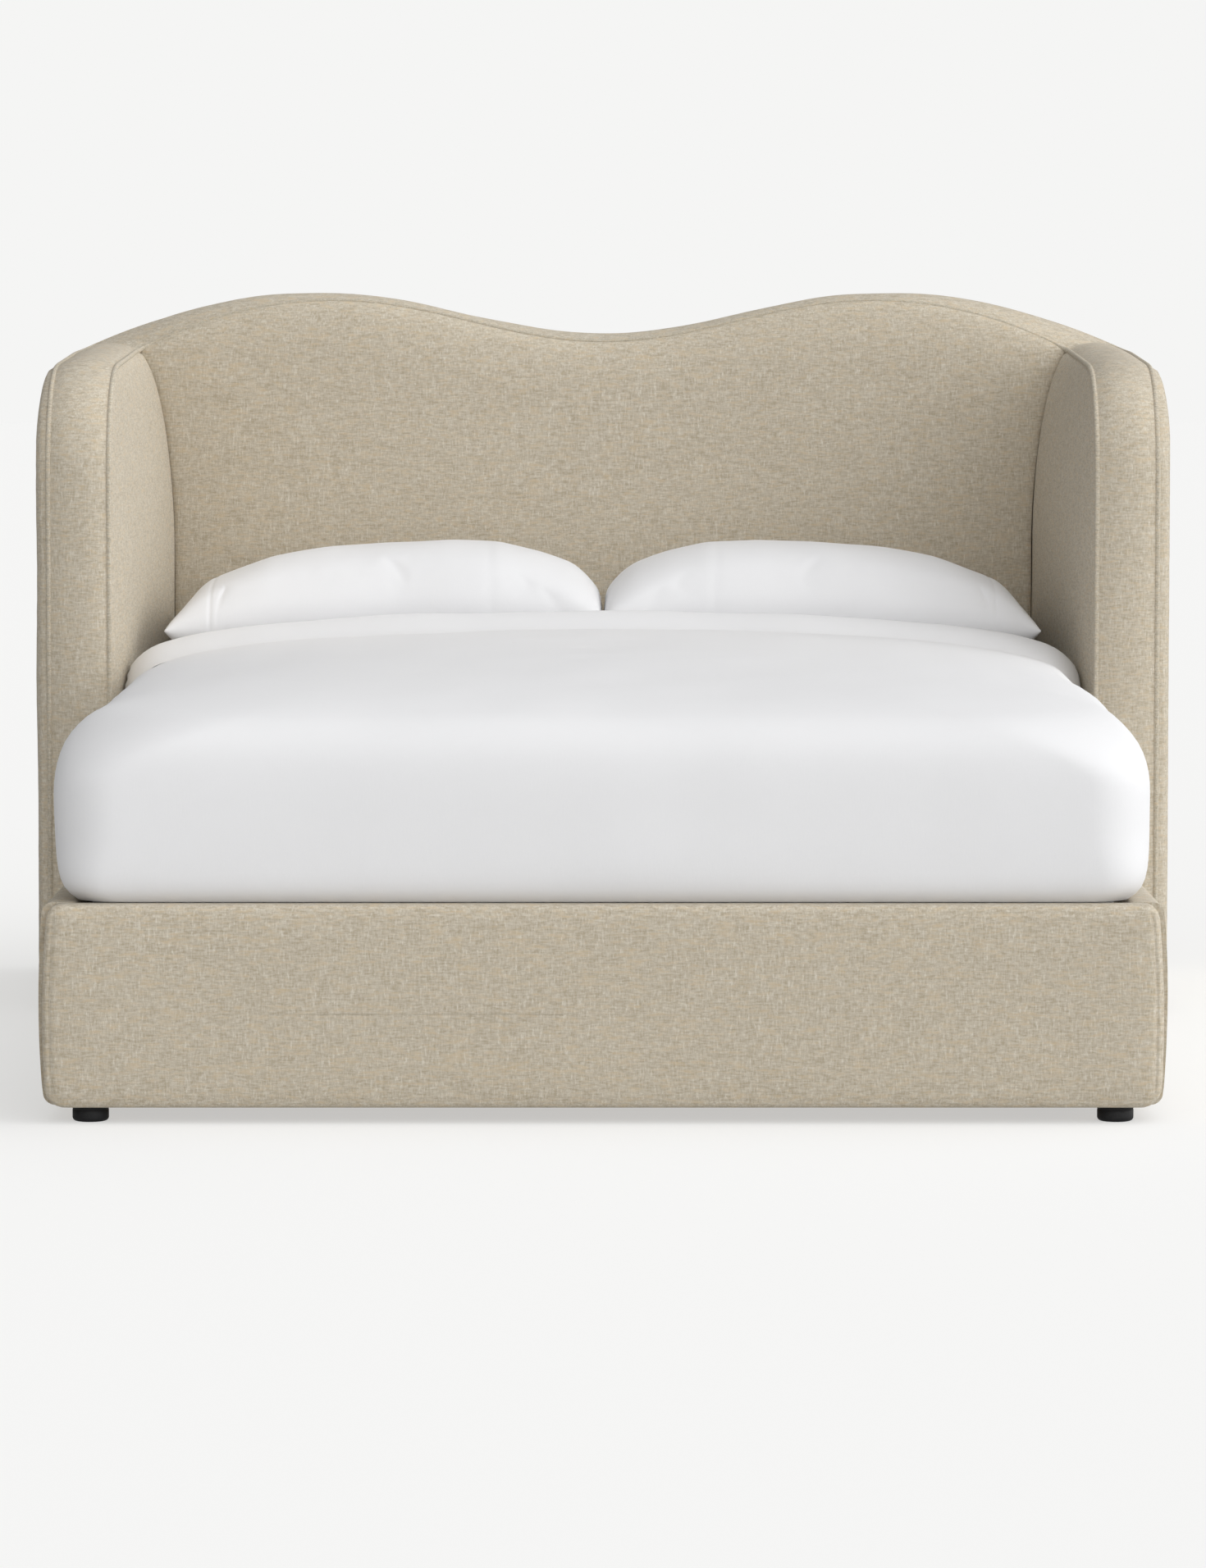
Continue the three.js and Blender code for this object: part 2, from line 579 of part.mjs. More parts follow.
// ---------------------------------------------------------------- mattress support
/** Slats across the ledgers, the beam under their middles and the legs under the beam. */
function slatsAndBeam() {
  const halfSlat = railInner - SLAT.endGap;
  const [first, last] = [mattressFront + SLAT.margin, mattressRear - SLAT.margin];
  steps(first, last, SLAT.count - 1).forEach((depth, i) => {
    const low = [-halfSlat, depth - SLAT.width / 2, slatBottom];
    const high = [halfSlat, depth + SLAT.width / 2, slatBottom + SLAT.thickness];
    piece(`slat_${String(i + 1).padStart(2, "0")}`, block(low, high), SOFTWOOD());
  });
  const beamBottom = ledgerTop - BEAM.height;
  const beamRear = panelFront - CLEARANCE;
  const beam = block([-BEAM.width / 2, FOOTBOARD.thickness + CLEARANCE, beamBottom], [BEAM.width / 2, beamRear, ledgerTop]);
  piece("centre_beam", beam, SOFTWOOD());
  CENTRE_LEG.depths.forEach((depth, i) => {
    const half = CENTRE_LEG.side / 2;
    const leg = block([-half, depth - half, 0], [half, depth + half, beamBottom - CLEARANCE]);
    piece(`centre_leg_${i + 1}`, leg, SOFTWOOD());
  });
}

/** A round bolt head standing on a face, pointing along a direction. */
function boltHead(point, direction) {
  const head = new THREE.CylinderGeometry(BOLT.radius, BOLT.radius, BOLT.height, 8);
  head.translate(0, BOLT.height / 2 - 0.5, 0);
  const turn = new THREE.Quaternion().setFromUnitVectors(new THREE.Vector3(0, 1, 0), direction);
  return solid(head.applyQuaternion(turn).translate(point.x, point.y, point.z));
}

/** Timber blocks behind the footboard and steel angles on the headboard, with the heads of their bolts. */
function cornerFixings(name, side) {
  const outer = railInner - CLEARANCE;
  const across = (low, high) => (side < 0 ? [-high, -low] : [low, high]);
  const front = FOOTBOARD.thickness + CLEARANCE;
  const [low, high] = across(outer - BLOCK.width, outer);
  const blockTop = underside + BLOCK.height;
  const rear = front + BLOCK.length;
  let corner = solid(block([low, front, underside], [high, rear, blockTop]));
  for (const z of [underside + 2 * BOLT.edge, blockTop - BOLT.edge]) {
    corner = corner.add(boltHead(place((low + high) / 2, rear, z), new THREE.Vector3(0, 1, 0)));
  }
  piece(`${name}_corner_block`, geometryOf(corner), SOFTWOOD());

  const wall = panelFront - CLEARANCE;
  const { plate, leg, bottom, height } = BRACKET;
  const [farLow, farHigh] = across(outer - leg, outer);
  const [legLow, legHigh] = across(outer - plate, outer);
  let angle = solid(block([farLow, wall - plate, bottom], [farHigh, wall, bottom + height]))
    .add(solid(block([legLow, wall - leg, bottom], [legHigh, wall, bottom + height])));
  for (const z of [bottom + BOLT.edge, bottom + height - BOLT.edge]) {
    const onWall = place(side * (outer - leg + BOLT.edge), wall - plate, z);
    const onRail = place(side * (outer - plate), wall - leg + BOLT.edge, z);
    angle = angle.add(boltHead(onWall, new THREE.Vector3(0, -1, 0)));
    angle = angle.add(boltHead(onRail, new THREE.Vector3(-side, 0, 0)));
  }
  piece(`${name}_head_bracket`, geometryOf(angle), STEEL());
}

/** Short round feet under the footboard's corners and both ends of each wing. */
function feet() {
  const { radius, sole, sideInset, frontDepth, wingInset, rearInset } = FOOT;
  const top = BED.floorGap - CLEARANCE;
  const profile = [[0, 0], [sole, 0], [radius - 2.5, 3], [radius - 0.8, 9], [radius, top], [0, top]];
  const wingSide = (wingFrameInner + wingFrameOuter) / 2;
  const spots = [
    ["front", railOuter - sideInset, frontDepth],
    ["wing", wingSide, wingPlane + wingInset],
    ["rear", wingSide, rearPlane - rearInset],
  ];
  for (const [name, x, depth] of spots) {
    for (const [hand, sign] of [["left", -1], ["right", 1]]) {
      const foot = new THREE.LatheGeometry(profile.map(([r, z]) => new THREE.Vector2(r, z)), 16);
      const spot = place(sign * x, depth, 0);
      piece(`${hand}_${name}_foot`, foot.rotateX(Math.PI / 2).translate(spot.x, spot.y, spot.z), BLACK_FOOT());
    }
  }
}

// ---------------------------------------------------------------- bedding
/** A horizontal ring with rounded corners, between a front and a rear depth. */
function levelRing(half, front, rear, z, radius, perCorner = 4) {
  const low = new THREE.Vector2(-half, front);
  const high = new THREE.Vector2(half, rear);
  return roundedRectangle(low, high, [radius, radius, radius, radius], perCorner).map((p) => place(p.x, p.y, z));
}

/** A ring round the mattress at one height, inset evenly. */
function mattressRing(inset, z) {
  const half = MATTRESS.width / 2 - inset;
  return levelRing(half, mattressFront + inset, mattressRear - inset, z, MATTRESS.corner - inset);
}

/** The mattress, square-edged with rounded corners. */
function mattress() {
  const { edge } = MATTRESS;
  const rings = [
    mattressRing(edge, mattressBottom),
    mattressRing(edge / 5, mattressBottom + edge / 3),
    mattressRing(0, mattressBottom + edge),
    mattressRing(0, mattressTop - edge),
    mattressRing(edge / 5, mattressTop - edge / 3),
    mattressRing(edge, mattressTop),
  ];
  piece("mattress", skin(rings), TICKING());
}

/** The duvet, tucked down over the foot and sides of the mattress and open under its head end. */
function duvet() {
  const { ease } = DUVET;
  const half = MATTRESS.width / 2 + DUVET.sideDrop;
  const front = mattressFront - DUVET.frontDrop;
  const rear = mattressRear - DUVET.bare;
  const top = mattressTop + DUVET.loft;
  const bottom = BED.sideTop + DUVET.hem;
  const level = (inset, rearInset, z, radius) => levelRing(half - inset, front + inset, rear - rearInset, z, radius, 5);
  const outer = skin([
    level(30, 4, bottom, 60),
    level(12, 2, bottom + 26, 75),
    level(2, 0, lerp(bottom, top, 0.34), 88),
    level(0, 0, lerp(bottom, top, 0.55), 92),
    level(8, 0, top - 82, 100),
    level(24, 4, top - 52, 115),
    level(64, 12, top - 26, 140),
    level(200, 40, top - 8, 200),
    level(420, 160, top, 260),
  ]);
  const { edge } = MATTRESS;
  const cavity = skin([
    mattressRing(-ease, mattressBottom),
    mattressRing(-ease, mattressTop - edge),
    mattressRing(edge / 5 - ease, mattressTop - edge / 3 + ease / 2),
    mattressRing(edge - ease, mattressTop + CLEARANCE),
  ]);
  piece("duvet", geometryOf(solid(outer).subtract(solid(cavity))), COTTON());
}

/** One plump pillow lying against the headboard. */
function pillow(name, side) {
  const { width, length, thickness, tilt, gap, headGap } = PILLOW;
  const levels = [-1, -0.9, -0.66, -0.34, 0, 0.34, 0.66, 0.9, 1];
  const rings = levels.map((t) => {
    const fill = Math.max((1 - Math.abs(t) ** 2.4) ** (1 / 2.4), 0.3);
    const halfWidth = (width / 2) * lerp(fill, 1, 0.25);
    const halfLength = (length / 2) * lerp(fill, 1, 0.1);
    const ring = roundedRectangle(
      new THREE.Vector2(-halfWidth, -halfLength), new THREE.Vector2(halfWidth, halfLength),
      Array(4).fill(lerp(150, 40, fill) * fill + 10), 4,
    );
    return ring.map((p) => new THREE.Vector3(p.x, p.y, (t * thickness) / 2));
  });
  const geometry = skin(rings).rotateX(THREE.MathUtils.degToRad(tilt));
  geometry.computeBoundingBox();
  const lift = mattressTop + CLEARANCE - geometry.boundingBox.min.z;
  const spot = place(side * (gap + width / 2), mattressRear - headGap, lift);
  piece(`${name}_pillow`, geometry.translate(spot.x, spot.y, spot.z), COTTON());
}

// ---------------------------------------------------------------- the bed
headboardFrame();
headboardPadding();
borderBand();
pipings();
footboard();
slatsAndBeam();
feet();
for (const [name, side] of [["left", -1], ["right", 1]]) {
  wing(name, side);
  sideRail(name, side);
  cornerFixings(name, side);
  pillow(name, side);
}
mattress();
duvet();

export default group;
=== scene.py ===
"""Dresses the upholstered wingback bed: linen shell, piped band, rails, footboard and white bedding.

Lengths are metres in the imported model's frame: X across, Y towards the headboard, Z up from the floor.
"""

from __future__ import annotations

import json
import logging
import math
from dataclasses import dataclass
from enum import Enum
from typing import Sequence

import bmesh
import bpy
import numpy as np
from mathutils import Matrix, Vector

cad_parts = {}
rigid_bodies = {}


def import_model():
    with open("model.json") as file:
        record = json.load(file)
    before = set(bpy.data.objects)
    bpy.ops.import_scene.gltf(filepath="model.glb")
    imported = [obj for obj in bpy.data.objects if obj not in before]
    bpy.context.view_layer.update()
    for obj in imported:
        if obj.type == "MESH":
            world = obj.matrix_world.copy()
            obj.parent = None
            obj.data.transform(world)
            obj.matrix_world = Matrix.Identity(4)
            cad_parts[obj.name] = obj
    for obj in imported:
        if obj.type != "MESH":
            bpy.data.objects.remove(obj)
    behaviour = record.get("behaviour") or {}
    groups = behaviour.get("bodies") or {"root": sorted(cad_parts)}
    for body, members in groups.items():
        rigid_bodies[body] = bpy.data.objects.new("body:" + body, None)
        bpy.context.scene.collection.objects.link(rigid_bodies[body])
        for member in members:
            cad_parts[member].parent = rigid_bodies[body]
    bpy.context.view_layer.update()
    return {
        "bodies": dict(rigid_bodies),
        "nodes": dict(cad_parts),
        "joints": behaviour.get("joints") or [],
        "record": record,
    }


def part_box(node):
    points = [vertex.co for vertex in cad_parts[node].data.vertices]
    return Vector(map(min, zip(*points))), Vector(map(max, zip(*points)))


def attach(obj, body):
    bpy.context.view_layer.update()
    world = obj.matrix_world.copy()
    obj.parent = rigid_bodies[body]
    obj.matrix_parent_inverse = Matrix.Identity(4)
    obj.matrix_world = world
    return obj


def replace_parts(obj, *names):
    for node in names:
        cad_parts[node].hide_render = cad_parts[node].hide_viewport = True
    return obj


log = logging.getLogger("bed")
MM = 0.001
UP = np.array([0.0, 0.0, 1.0])
NodeSocket = bpy.types.NodeSocket
Piece = bpy.types.Object
Colour = tuple[float, float, float]


class Side(Enum):
    """The two sides of the bed, with the sign of X on each."""

    LEFT = -1
    RIGHT = 1

    @property
    def word(self) -> str:
        """The side's name as the pieces spell it."""
        return self.name.lower()

    @property
    def mirror(self) -> np.ndarray:
        """What a point on the right of the bed is multiplied by to move it to this side."""
        return np.array([self.value, 1.0, 1.0])


class Grain(Enum):
    """The axis that a board's grain runs along."""

    ACROSS = 0
    ALONG = 1
    UP = 2


# ---------------------------------------------------------------- curves and noise


def blend(a: np.ndarray | float, b: np.ndarray | float, t: np.ndarray | float) -> np.ndarray:
    """The value a share t of the way from a to b."""
    return np.asarray(a) + (np.asarray(b) - np.asarray(a)) * t


def ease(t: np.ndarray | float) -> np.ndarray:
    """A smooth step from 0 at 0 to 1 at 1."""
    t = np.clip(t, 0.0, 1.0)
    return t * t * (3.0 - 2.0 * t)


def roll(t: np.ndarray | float, power: float = 2.0) -> np.ndarray:
    """Rises from 0 to 1 along a quarter of a superellipse, upright at 0 and level at 1."""
    t = np.clip(t, 0.0, 1.0)
    return np.clip(1.0 - (1.0 - t) ** power, 0.0, 1.0) ** (1.0 / power)


def bell(distance: np.ndarray | float, width: float) -> np.ndarray:
    """A bump of height 1 at no distance that fades over a width."""
    return np.exp(-((np.asarray(distance) / width) ** 2))


@dataclass(frozen=True)
class Undulation:
    """Smooth, repeatable unevenness, as stuffing gives to cloth.

    Attributes:
        height: typical height of a swell, in metres.
        wavelength: typical distance between swells, in metres.
        seed: number that fixes the pattern.
    """

    height: float
    wavelength: float
    seed: int

    def at(self, points: np.ndarray) -> np.ndarray:
        """How far the surface stands out at each point.

        Args:
            points: an array whose last axis holds x, y and z.

        Returns:
            One height for each point.
        """
        rng = np.random.default_rng(self.seed)
        total = np.zeros(points.shape[:-1])
        waves = 9
        for _ in range(waves):
            heading = rng.normal(size=3)
            heading /= np.linalg.norm(heading)
            number = 2.0 * math.pi / (self.wavelength * rng.uniform(0.7, 1.6))
            total += np.sin(points @ heading * number + rng.uniform(0.0, 2.0 * math.pi))
        return self.height * total / math.sqrt(waves)


@dataclass(frozen=True)
class Puckers:
    """Small gathers that run square to a seam and die away from it.

    Attributes:
        height: height of the gathers at the seam.
        pitch: typical distance between them along the seam.
        reach: distance over which they fade.
        seed: number that fixes the pattern.
    """

    height: float
    pitch: float
    reach: float
    seed: int

    def at(self, along: np.ndarray, away: np.ndarray) -> np.ndarray:
        """Height of the gathers, given the distance along the seam and away from it."""
        rng = np.random.default_rng(self.seed)
        total = np.zeros(np.broadcast(along, away).shape)
        waves = 5
        for _ in range(waves):
            number = 2.0 * math.pi / (self.pitch * rng.uniform(0.6, 1.9))
            total = total + np.sin(along * number + rng.uniform(0.0, 2.0 * math.pi))
        rise = np.exp(-away / self.reach) * ease(away / (0.35 * self.reach))
        return self.height * total / math.sqrt(waves) * rise


# ---------------------------------------------------------------- mesh making


def new_piece(name: str, points: np.ndarray, faces: list[tuple[int, ...]], crease: float = 40.0) -> Piece:
    """Makes a smooth-shaded piece from points and faces, turned to face outwards.

    Args:
        name: name of the piece.
        points: one row for each point.
        faces: lists of point numbers, all turned the same way.
        crease: angle in degrees above which an edge stays sharp.

    Returns:
        The new object, linked to the scene.
    """
    points = np.asarray(points, float)
    volume = 0.0
    for face in faces:
        for a, b in zip(face[1:-1], face[2:]):
            volume += float(np.dot(points[face[0]], np.cross(points[a], points[b])))
    turned = [tuple(reversed(face)) for face in faces] if volume < 0.0 else faces
    mesh = bpy.data.meshes.new(name)
    mesh.from_pydata(points.tolist(), [], turned)
    mesh.shade_smooth()
    mesh.set_sharp_from_angle(angle=math.radians(crease))
    mesh.update()
    piece = bpy.data.objects.new(name, mesh)
    bpy.context.scene.collection.objects.link(piece)
    return piece


def grid_faces(columns: int, rows: int, offset: int = 0) -> np.ndarray:
    """Quads over a grid of points numbered row by row within each column."""
    i, j = np.meshgrid(np.arange(columns - 1), np.arange(rows - 1), indexing="ij")
    a = (i * rows + j).ravel() + offset
    return np.stack([a, a + rows, a + rows + 1, a + 1], axis=1)


def sheet_faces(columns: int, rows: int) -> list[tuple[int, ...]]:
    """Quads over an outer grid of points and, turned over, over an inner one numbered after it."""
    outer = grid_faces(columns, rows)
    inner = grid_faces(columns, rows, columns * rows)[:, ::-1]
    return [tuple(face) for face in np.concatenate([outer, inner]).tolist()]


def slab(name: str, front: np.ndarray, back: np.ndarray, crease: float = 40.0) -> Piece:
    """Makes a closed piece between two grids of points of the same size.

    Args:
        name: name of the piece.
        front: points of the outer sheet, as columns by rows by 3.
        back: points of the inner sheet, the same size.
        crease: angle in degrees above which an edge stays sharp.

    Returns:
        The new object.
    """
    columns, rows = front.shape[:2]
    count = columns * rows
    rim = [i * rows for i in range(columns)]
    rim += [(columns - 1) * rows + j for j in range(1, rows)]
    rim += [i * rows + rows - 1 for i in range(columns - 2, -1, -1)]
    rim += list(range(rows - 2, 0, -1))
    walls = [(b, a, a + count, b + count) for a, b in zip(rim, rim[1:] + rim[:1])]
    points = np.concatenate([front.reshape(-1, 3), back.reshape(-1, 3)])
    return new_piece(name, points, sheet_faces(columns, rows) + walls, crease)


def lathe(name: str, rings: np.ndarray, closed: bool = False, crease: float = 40.0) -> Piece:
    """Makes a closed piece skinned over rings of points.

    Args:
        name: name of the piece.
        rings: points as rings by points by 3.
        closed: whether the last ring joins on to the first, instead of both being capped.
        crease: angle in degrees above which an edge stays sharp.

    Returns:
        The new object.
    """
    count, size = rings.shape[:2]
    faces: list[tuple[int, ...]] = []
    last = count if closed else count - 1
    for r in range(last):
        here, there = r * size, ((r + 1) % count) * size
        for i in range(size):
            j = (i + 1) % size
            faces.append((here + i, here + j, there + j, there + i))
    if not closed:
        faces.append(tuple(range(size - 1, -1, -1)))
        faces.append(tuple(range((count - 1) * size, count * size)))
    return new_piece(name, rings.reshape(-1, 3), faces, crease)


def sweep(name: str, path: np.ndarray, radius: float, sides: int = 12) -> Piece:
    """Makes a round cord of one thickness along a path, without twisting it.

    Args:
        name: name of the piece.
        path: points along the middle of the cord.
        radius: radius of the cord.
        sides: number of sides of its section.

    Returns:
        The new object.
    """
    along = np.gradient(path, axis=0)
    along /= np.linalg.norm(along, axis=1)[:, None]
    first = np.array([1.0, 0.0, 0.0])
    angles = np.linspace(0.0, 2.0 * math.pi, sides, endpoint=False)
    rings = np.zeros((len(path), sides, 3))
    for i, (point, heading) in enumerate(zip(path, along)):
        first = first - heading * float(first @ heading)
        first /= np.linalg.norm(first)
        second = np.cross(heading, first)
        rings[i] = point + radius * (np.cos(angles)[:, None] * first + np.sin(angles)[:, None] * second)
    return lathe(name, rings, crease=60.0)


def rounded_ring(half: float, low: float, high: float, radii: tuple[float, float], count: int) -> np.ndarray:
    """Points evenly spaced round a rectangle with rounded corners.

    Args:
        half: half of its width about x = 0.
        low: its low edge in the second direction.
        high: its high edge in the second direction.
        radii: radius of the two low corners and of the two high corners.
        count: number of points, which start at the middle of the low edge.

    Returns:
        Rows of the two coordinates.
    """
    dense: list[np.ndarray] = [np.array([[0.0, low]])]
    corners = [(half, low, -1, 1, radii[0], -90), (half, high, -1, -1, radii[1], 0)]
    corners += [(-half, high, 1, -1, radii[1], 90), (-half, low, 1, 1, radii[0], 180)]
    for x, y, inward_x, inward_y, radius, start in corners:
        angle = np.radians(start + np.linspace(0.0, 90.0, 25))
        centre = np.array([x + inward_x * radius, y + inward_y * radius])
        dense.append(centre + radius * np.stack([np.cos(angle), np.sin(angle)], axis=1))
    dense.append(np.array([[0.0, low]]))
    outline = np.concatenate(dense)
    lengths = np.concatenate([[0.0], np.cumsum(np.linalg.norm(np.diff(outline, axis=0), axis=1))])
    marks = np.linspace(0.0, lengths[-1], count, endpoint=False)
    return np.stack([np.interp(marks, lengths, outline[:, k]) for k in range(2)], axis=1)


def spaced(stops: Sequence[float], counts: Sequence[int]) -> np.ndarray:
    """Values from stop to stop, with a chosen number of steps in each stretch."""
    runs = [np.linspace(a, b, n, endpoint=False) for a, b, n in zip(stops, stops[1:], counts)]
    return np.concatenate([*runs, [stops[-1]]])


# ---------------------------------------------------------------- shader groups


@dataclass
class Wiring:
    """Adds nodes to a tree, left to right, and joins them up.

    Attributes:
        tree: the node tree of a material or a group.
    """

    tree: bpy.types.NodeTree

    def node(self, kind: str, **settings: object) -> bpy.types.Node:
        """Adds a node of a kind, with its properties set."""
        made = self.tree.nodes.new(kind)
        for name, value in settings.items():
            setattr(made, name, value)
        return made

    def put(self, socket: NodeSocket, value: object) -> None:
        """Feeds an input from another node's output, or sets it to a value."""
        if isinstance(value, NodeSocket):
            self.tree.links.new(value, socket)
        else:
            socket.default_value = value

    def math(self, operation: str, *values: object) -> NodeSocket:
        """A number worked out from others."""
        made = self.node("ShaderNodeMath", operation=operation)
        for socket, value in zip(made.inputs, values):
            self.put(socket, value)
        return made.outputs[0]

    def plus(self, a: object, b: object) -> NodeSocket:
        """The sum of two numbers."""
        return self.math("ADD", a, b)

    def times(self, a: object, b: object) -> NodeSocket:
        """The product of two numbers."""
        return self.math("MULTIPLY", a, b)

    def scaled(self, vector: NodeSocket, scales: tuple[float, float, float]) -> NodeSocket:
        """A vector with each part multiplied by a scale."""
        made = self.node("ShaderNodeVectorMath", operation="MULTIPLY")
        self.put(made.inputs[0], vector)
        made.inputs[1].default_value = scales
        return made.outputs[0]

    def noise(self, vector: NodeSocket, scale: object, detail: float = 2.0, rough: float = 0.5) -> NodeSocket:
        """Cloudy noise between 0 and 1."""
        made = self.node("ShaderNodeTexNoise")
        self.put(made.inputs["Vector"], vector)
        self.put(made.inputs["Scale"], scale)
        made.inputs["Detail"].default_value = detail
        made.inputs["Roughness"].default_value = rough
        return made.outputs["Fac"]

    def spread(self, value: NodeSocket, low: float, high: float) -> NodeSocket:
        """Stretches a value so that low becomes 0 and high becomes 1."""
        made = self.node("ShaderNodeMapRange", clamp=True)
        self.put(made.inputs["Value"], value)
        made.inputs["From Min"].default_value = low
        made.inputs["From Max"].default_value = high
        return made.outputs["Result"]

    def tint(self, share: object, a: object, b: object) -> NodeSocket:
        """A colour between two others."""
        made = self.node("ShaderNodeMix", data_type="RGBA")
        self.put(made.inputs["Factor"], share)
        colours = [s for s in made.inputs if s.type == "RGBA"]
        for socket, value in zip(colours, (a, b)):
            self.put(socket, (*value, 1.0) if isinstance(value, tuple) else value)
        return next(s for s in made.outputs if s.type == "RGBA")

    def bump(self, height: NodeSocket, strength: float, distance: float) -> NodeSocket:
        """The normal of a surface that stands out by a height, from 0 to a distance."""
        made = self.node("ShaderNodeBump")
        made.inputs["Strength"].default_value = strength
        made.inputs["Distance"].default_value = distance
        self.put(made.inputs["Height"], height)
        return made.outputs["Normal"]

    def group(self, tree: bpy.types.NodeTree, **values: object) -> bpy.types.Node:
        """Places a node group, with its inputs fed or set; underscores stand for spaces."""
        made = self.node("ShaderNodeGroup", node_tree=tree)
        for name, value in values.items():
            self.put(made.inputs[name.replace("_", " ")], value)
        return made


def start_group(name: str, inputs: dict[str, float], outputs: Sequence[str]) -> tuple[Wiring, object, object]:
    """Starts a shader node group with number inputs and outputs.

    Args:
        name: name of the group.
        inputs: names of the inputs and the values they start with.
        outputs: names of the outputs.

    Returns:
        The wiring of the group, its inputs' sockets and its outputs' sockets.
    """
    tree = bpy.data.node_groups.new(name, "ShaderNodeTree")
    for label, value in inputs.items():
        socket = tree.interface.new_socket(name=label, in_out="INPUT", socket_type="NodeSocketFloat")
        socket.default_value = value
    for label in outputs:
        tree.interface.new_socket(name=label, in_out="OUTPUT", socket_type="NodeSocketFloat")
    wiring = Wiring(tree)
    inside = wiring.node("NodeGroupInput")
    outside = wiring.node("NodeGroupOutput")
    return wiring, inside.outputs, outside.inputs


def weave_group() -> bpy.types.NodeTree:
    """Builds the crossed threads of a plain weave, seen square on from any side.

    Returns:
        A group that puts out the height of the threads for a thread pitch.
    """
    wiring, given, out = start_group("plain_weave", {"Pitch": 0.0012}, ["Height"])
    place = wiring.node("ShaderNodeTexCoord").outputs["Object"]
    facing = wiring.node("ShaderNodeNewGeometry").outputs["Normal"]
    parts = wiring.node("ShaderNodeSeparateXYZ")
    wiring.put(parts.inputs[0], place)
    towards = wiring.node("ShaderNodeSeparateXYZ")
    wiring.put(towards.inputs[0], facing)
    turns = wiring.math("DIVIDE", 2.0 * math.pi, given["Pitch"])
    waves = [wiring.math("SINE", wiring.times(part, turns)) for part in parts.outputs]
    total: object = 0.5
    for axis, (a, b) in enumerate(((1, 2), (0, 2), (0, 1))):
        weight = wiring.math("POWER", wiring.math("ABSOLUTE", towards.outputs[axis]), 2.0)
        crossed = wiring.times(waves[a], waves[b])
        total = wiring.plus(total, wiring.times(wiring.times(crossed, weight), 0.5))
    wiring.put(out["Height"], total)
    return wiring.tree


def slub_group() -> bpy.types.NodeTree:
    """Builds the thick and thin places of spun threads, as streaks along the weft and the warp.

    Returns:
        A group that puts out both sets of streaks and a slow change of tone, each from 0 to 1.
    """
    wiring, given, out = start_group("slub_threads", {"Size": 0.004}, ["Weft", "Warp", "Cloud"])
    place = wiring.node("ShaderNodeTexCoord").outputs["Object"]
    fine = wiring.math("DIVIDE", 1.0, given["Size"])
    weft = wiring.noise(wiring.scaled(place, (0.2, 0.2, 0.9)), fine, 2.5, 0.65)
    warp = wiring.noise(wiring.scaled(place, (0.9, 0.9, 0.2)), fine, 2.5, 0.65)
    cloud = wiring.noise(place, wiring.math("DIVIDE", fine, 14.0), 3.0, 0.6)
    wiring.put(out["Weft"], wiring.spread(weft, 0.28, 0.72))
    wiring.put(out["Warp"], wiring.spread(warp, 0.28, 0.72))
    wiring.put(out["Cloud"], wiring.spread(cloud, 0.3, 0.7))
    return wiring.tree


def grain_group() -> bpy.types.NodeTree:
    """Builds long wood grain along one axis of the bed.

    Returns:
        A group that puts out the grain, from 0 to 1, for scales along X, Y and Z.
    """
    scales = {"Across": 1.0, "Along": 1.0, "Up": 1.0}
    wiring, given, out = start_group("wood_grain", scales, ["Grain", "Pores"])
    place = wiring.node("ShaderNodeTexCoord").outputs["Object"]
    stretch = wiring.node("ShaderNodeCombineXYZ")
    for socket, name in zip(stretch.inputs, scales):
        wiring.put(socket, given[name])
    moved = wiring.node("ShaderNodeVectorMath", operation="MULTIPLY")
    wiring.put(moved.inputs[0], place)
    wiring.put(moved.inputs[1], stretch.outputs[0])
    bands = wiring.noise(moved.outputs[0], 22.0, 4.0, 0.6)
    rings = wiring.math("FRACT", wiring.times(bands, 7.0))
    wiring.put(out["Grain"], wiring.spread(rings, 0.0, 1.0))
    wiring.put(out["Pores"], wiring.spread(wiring.noise(moved.outputs[0], 260.0, 2.0, 0.7), 0.3, 0.7))
    return wiring.tree


@dataclass(frozen=True)
class Effects:
    """The node groups that materials share.

    Attributes:
        weave: crossed threads.
        slubs: thick and thin places of spun threads.
        grain: wood grain.
    """

    weave: bpy.types.NodeTree
    slubs: bpy.types.NodeTree
    grain: bpy.types.NodeTree

    @classmethod
    def build(cls) -> Effects:
        """Builds each group once."""
        return cls(weave_group(), slub_group(), grain_group())


# ---------------------------------------------------------------- finishes


def start_material(name: str, roughness: float) -> tuple[bpy.types.Material, Wiring, bpy.types.Node]:
    """Starts a material with one surface shader.

    Args:
        name: name of the material.
        roughness: roughness of its surface.

    Returns:
        The material, its wiring, and its surface shader.
    """
    material = bpy.data.materials.new(name)
    material.use_nodes = True
    wiring = Wiring(material.node_tree)
    surface = material.node_tree.nodes["Principled BSDF"]
    surface.inputs["Roughness"].default_value = roughness
    surface.inputs["Specular IOR Level"].default_value = 0.25
    return material, wiring, surface


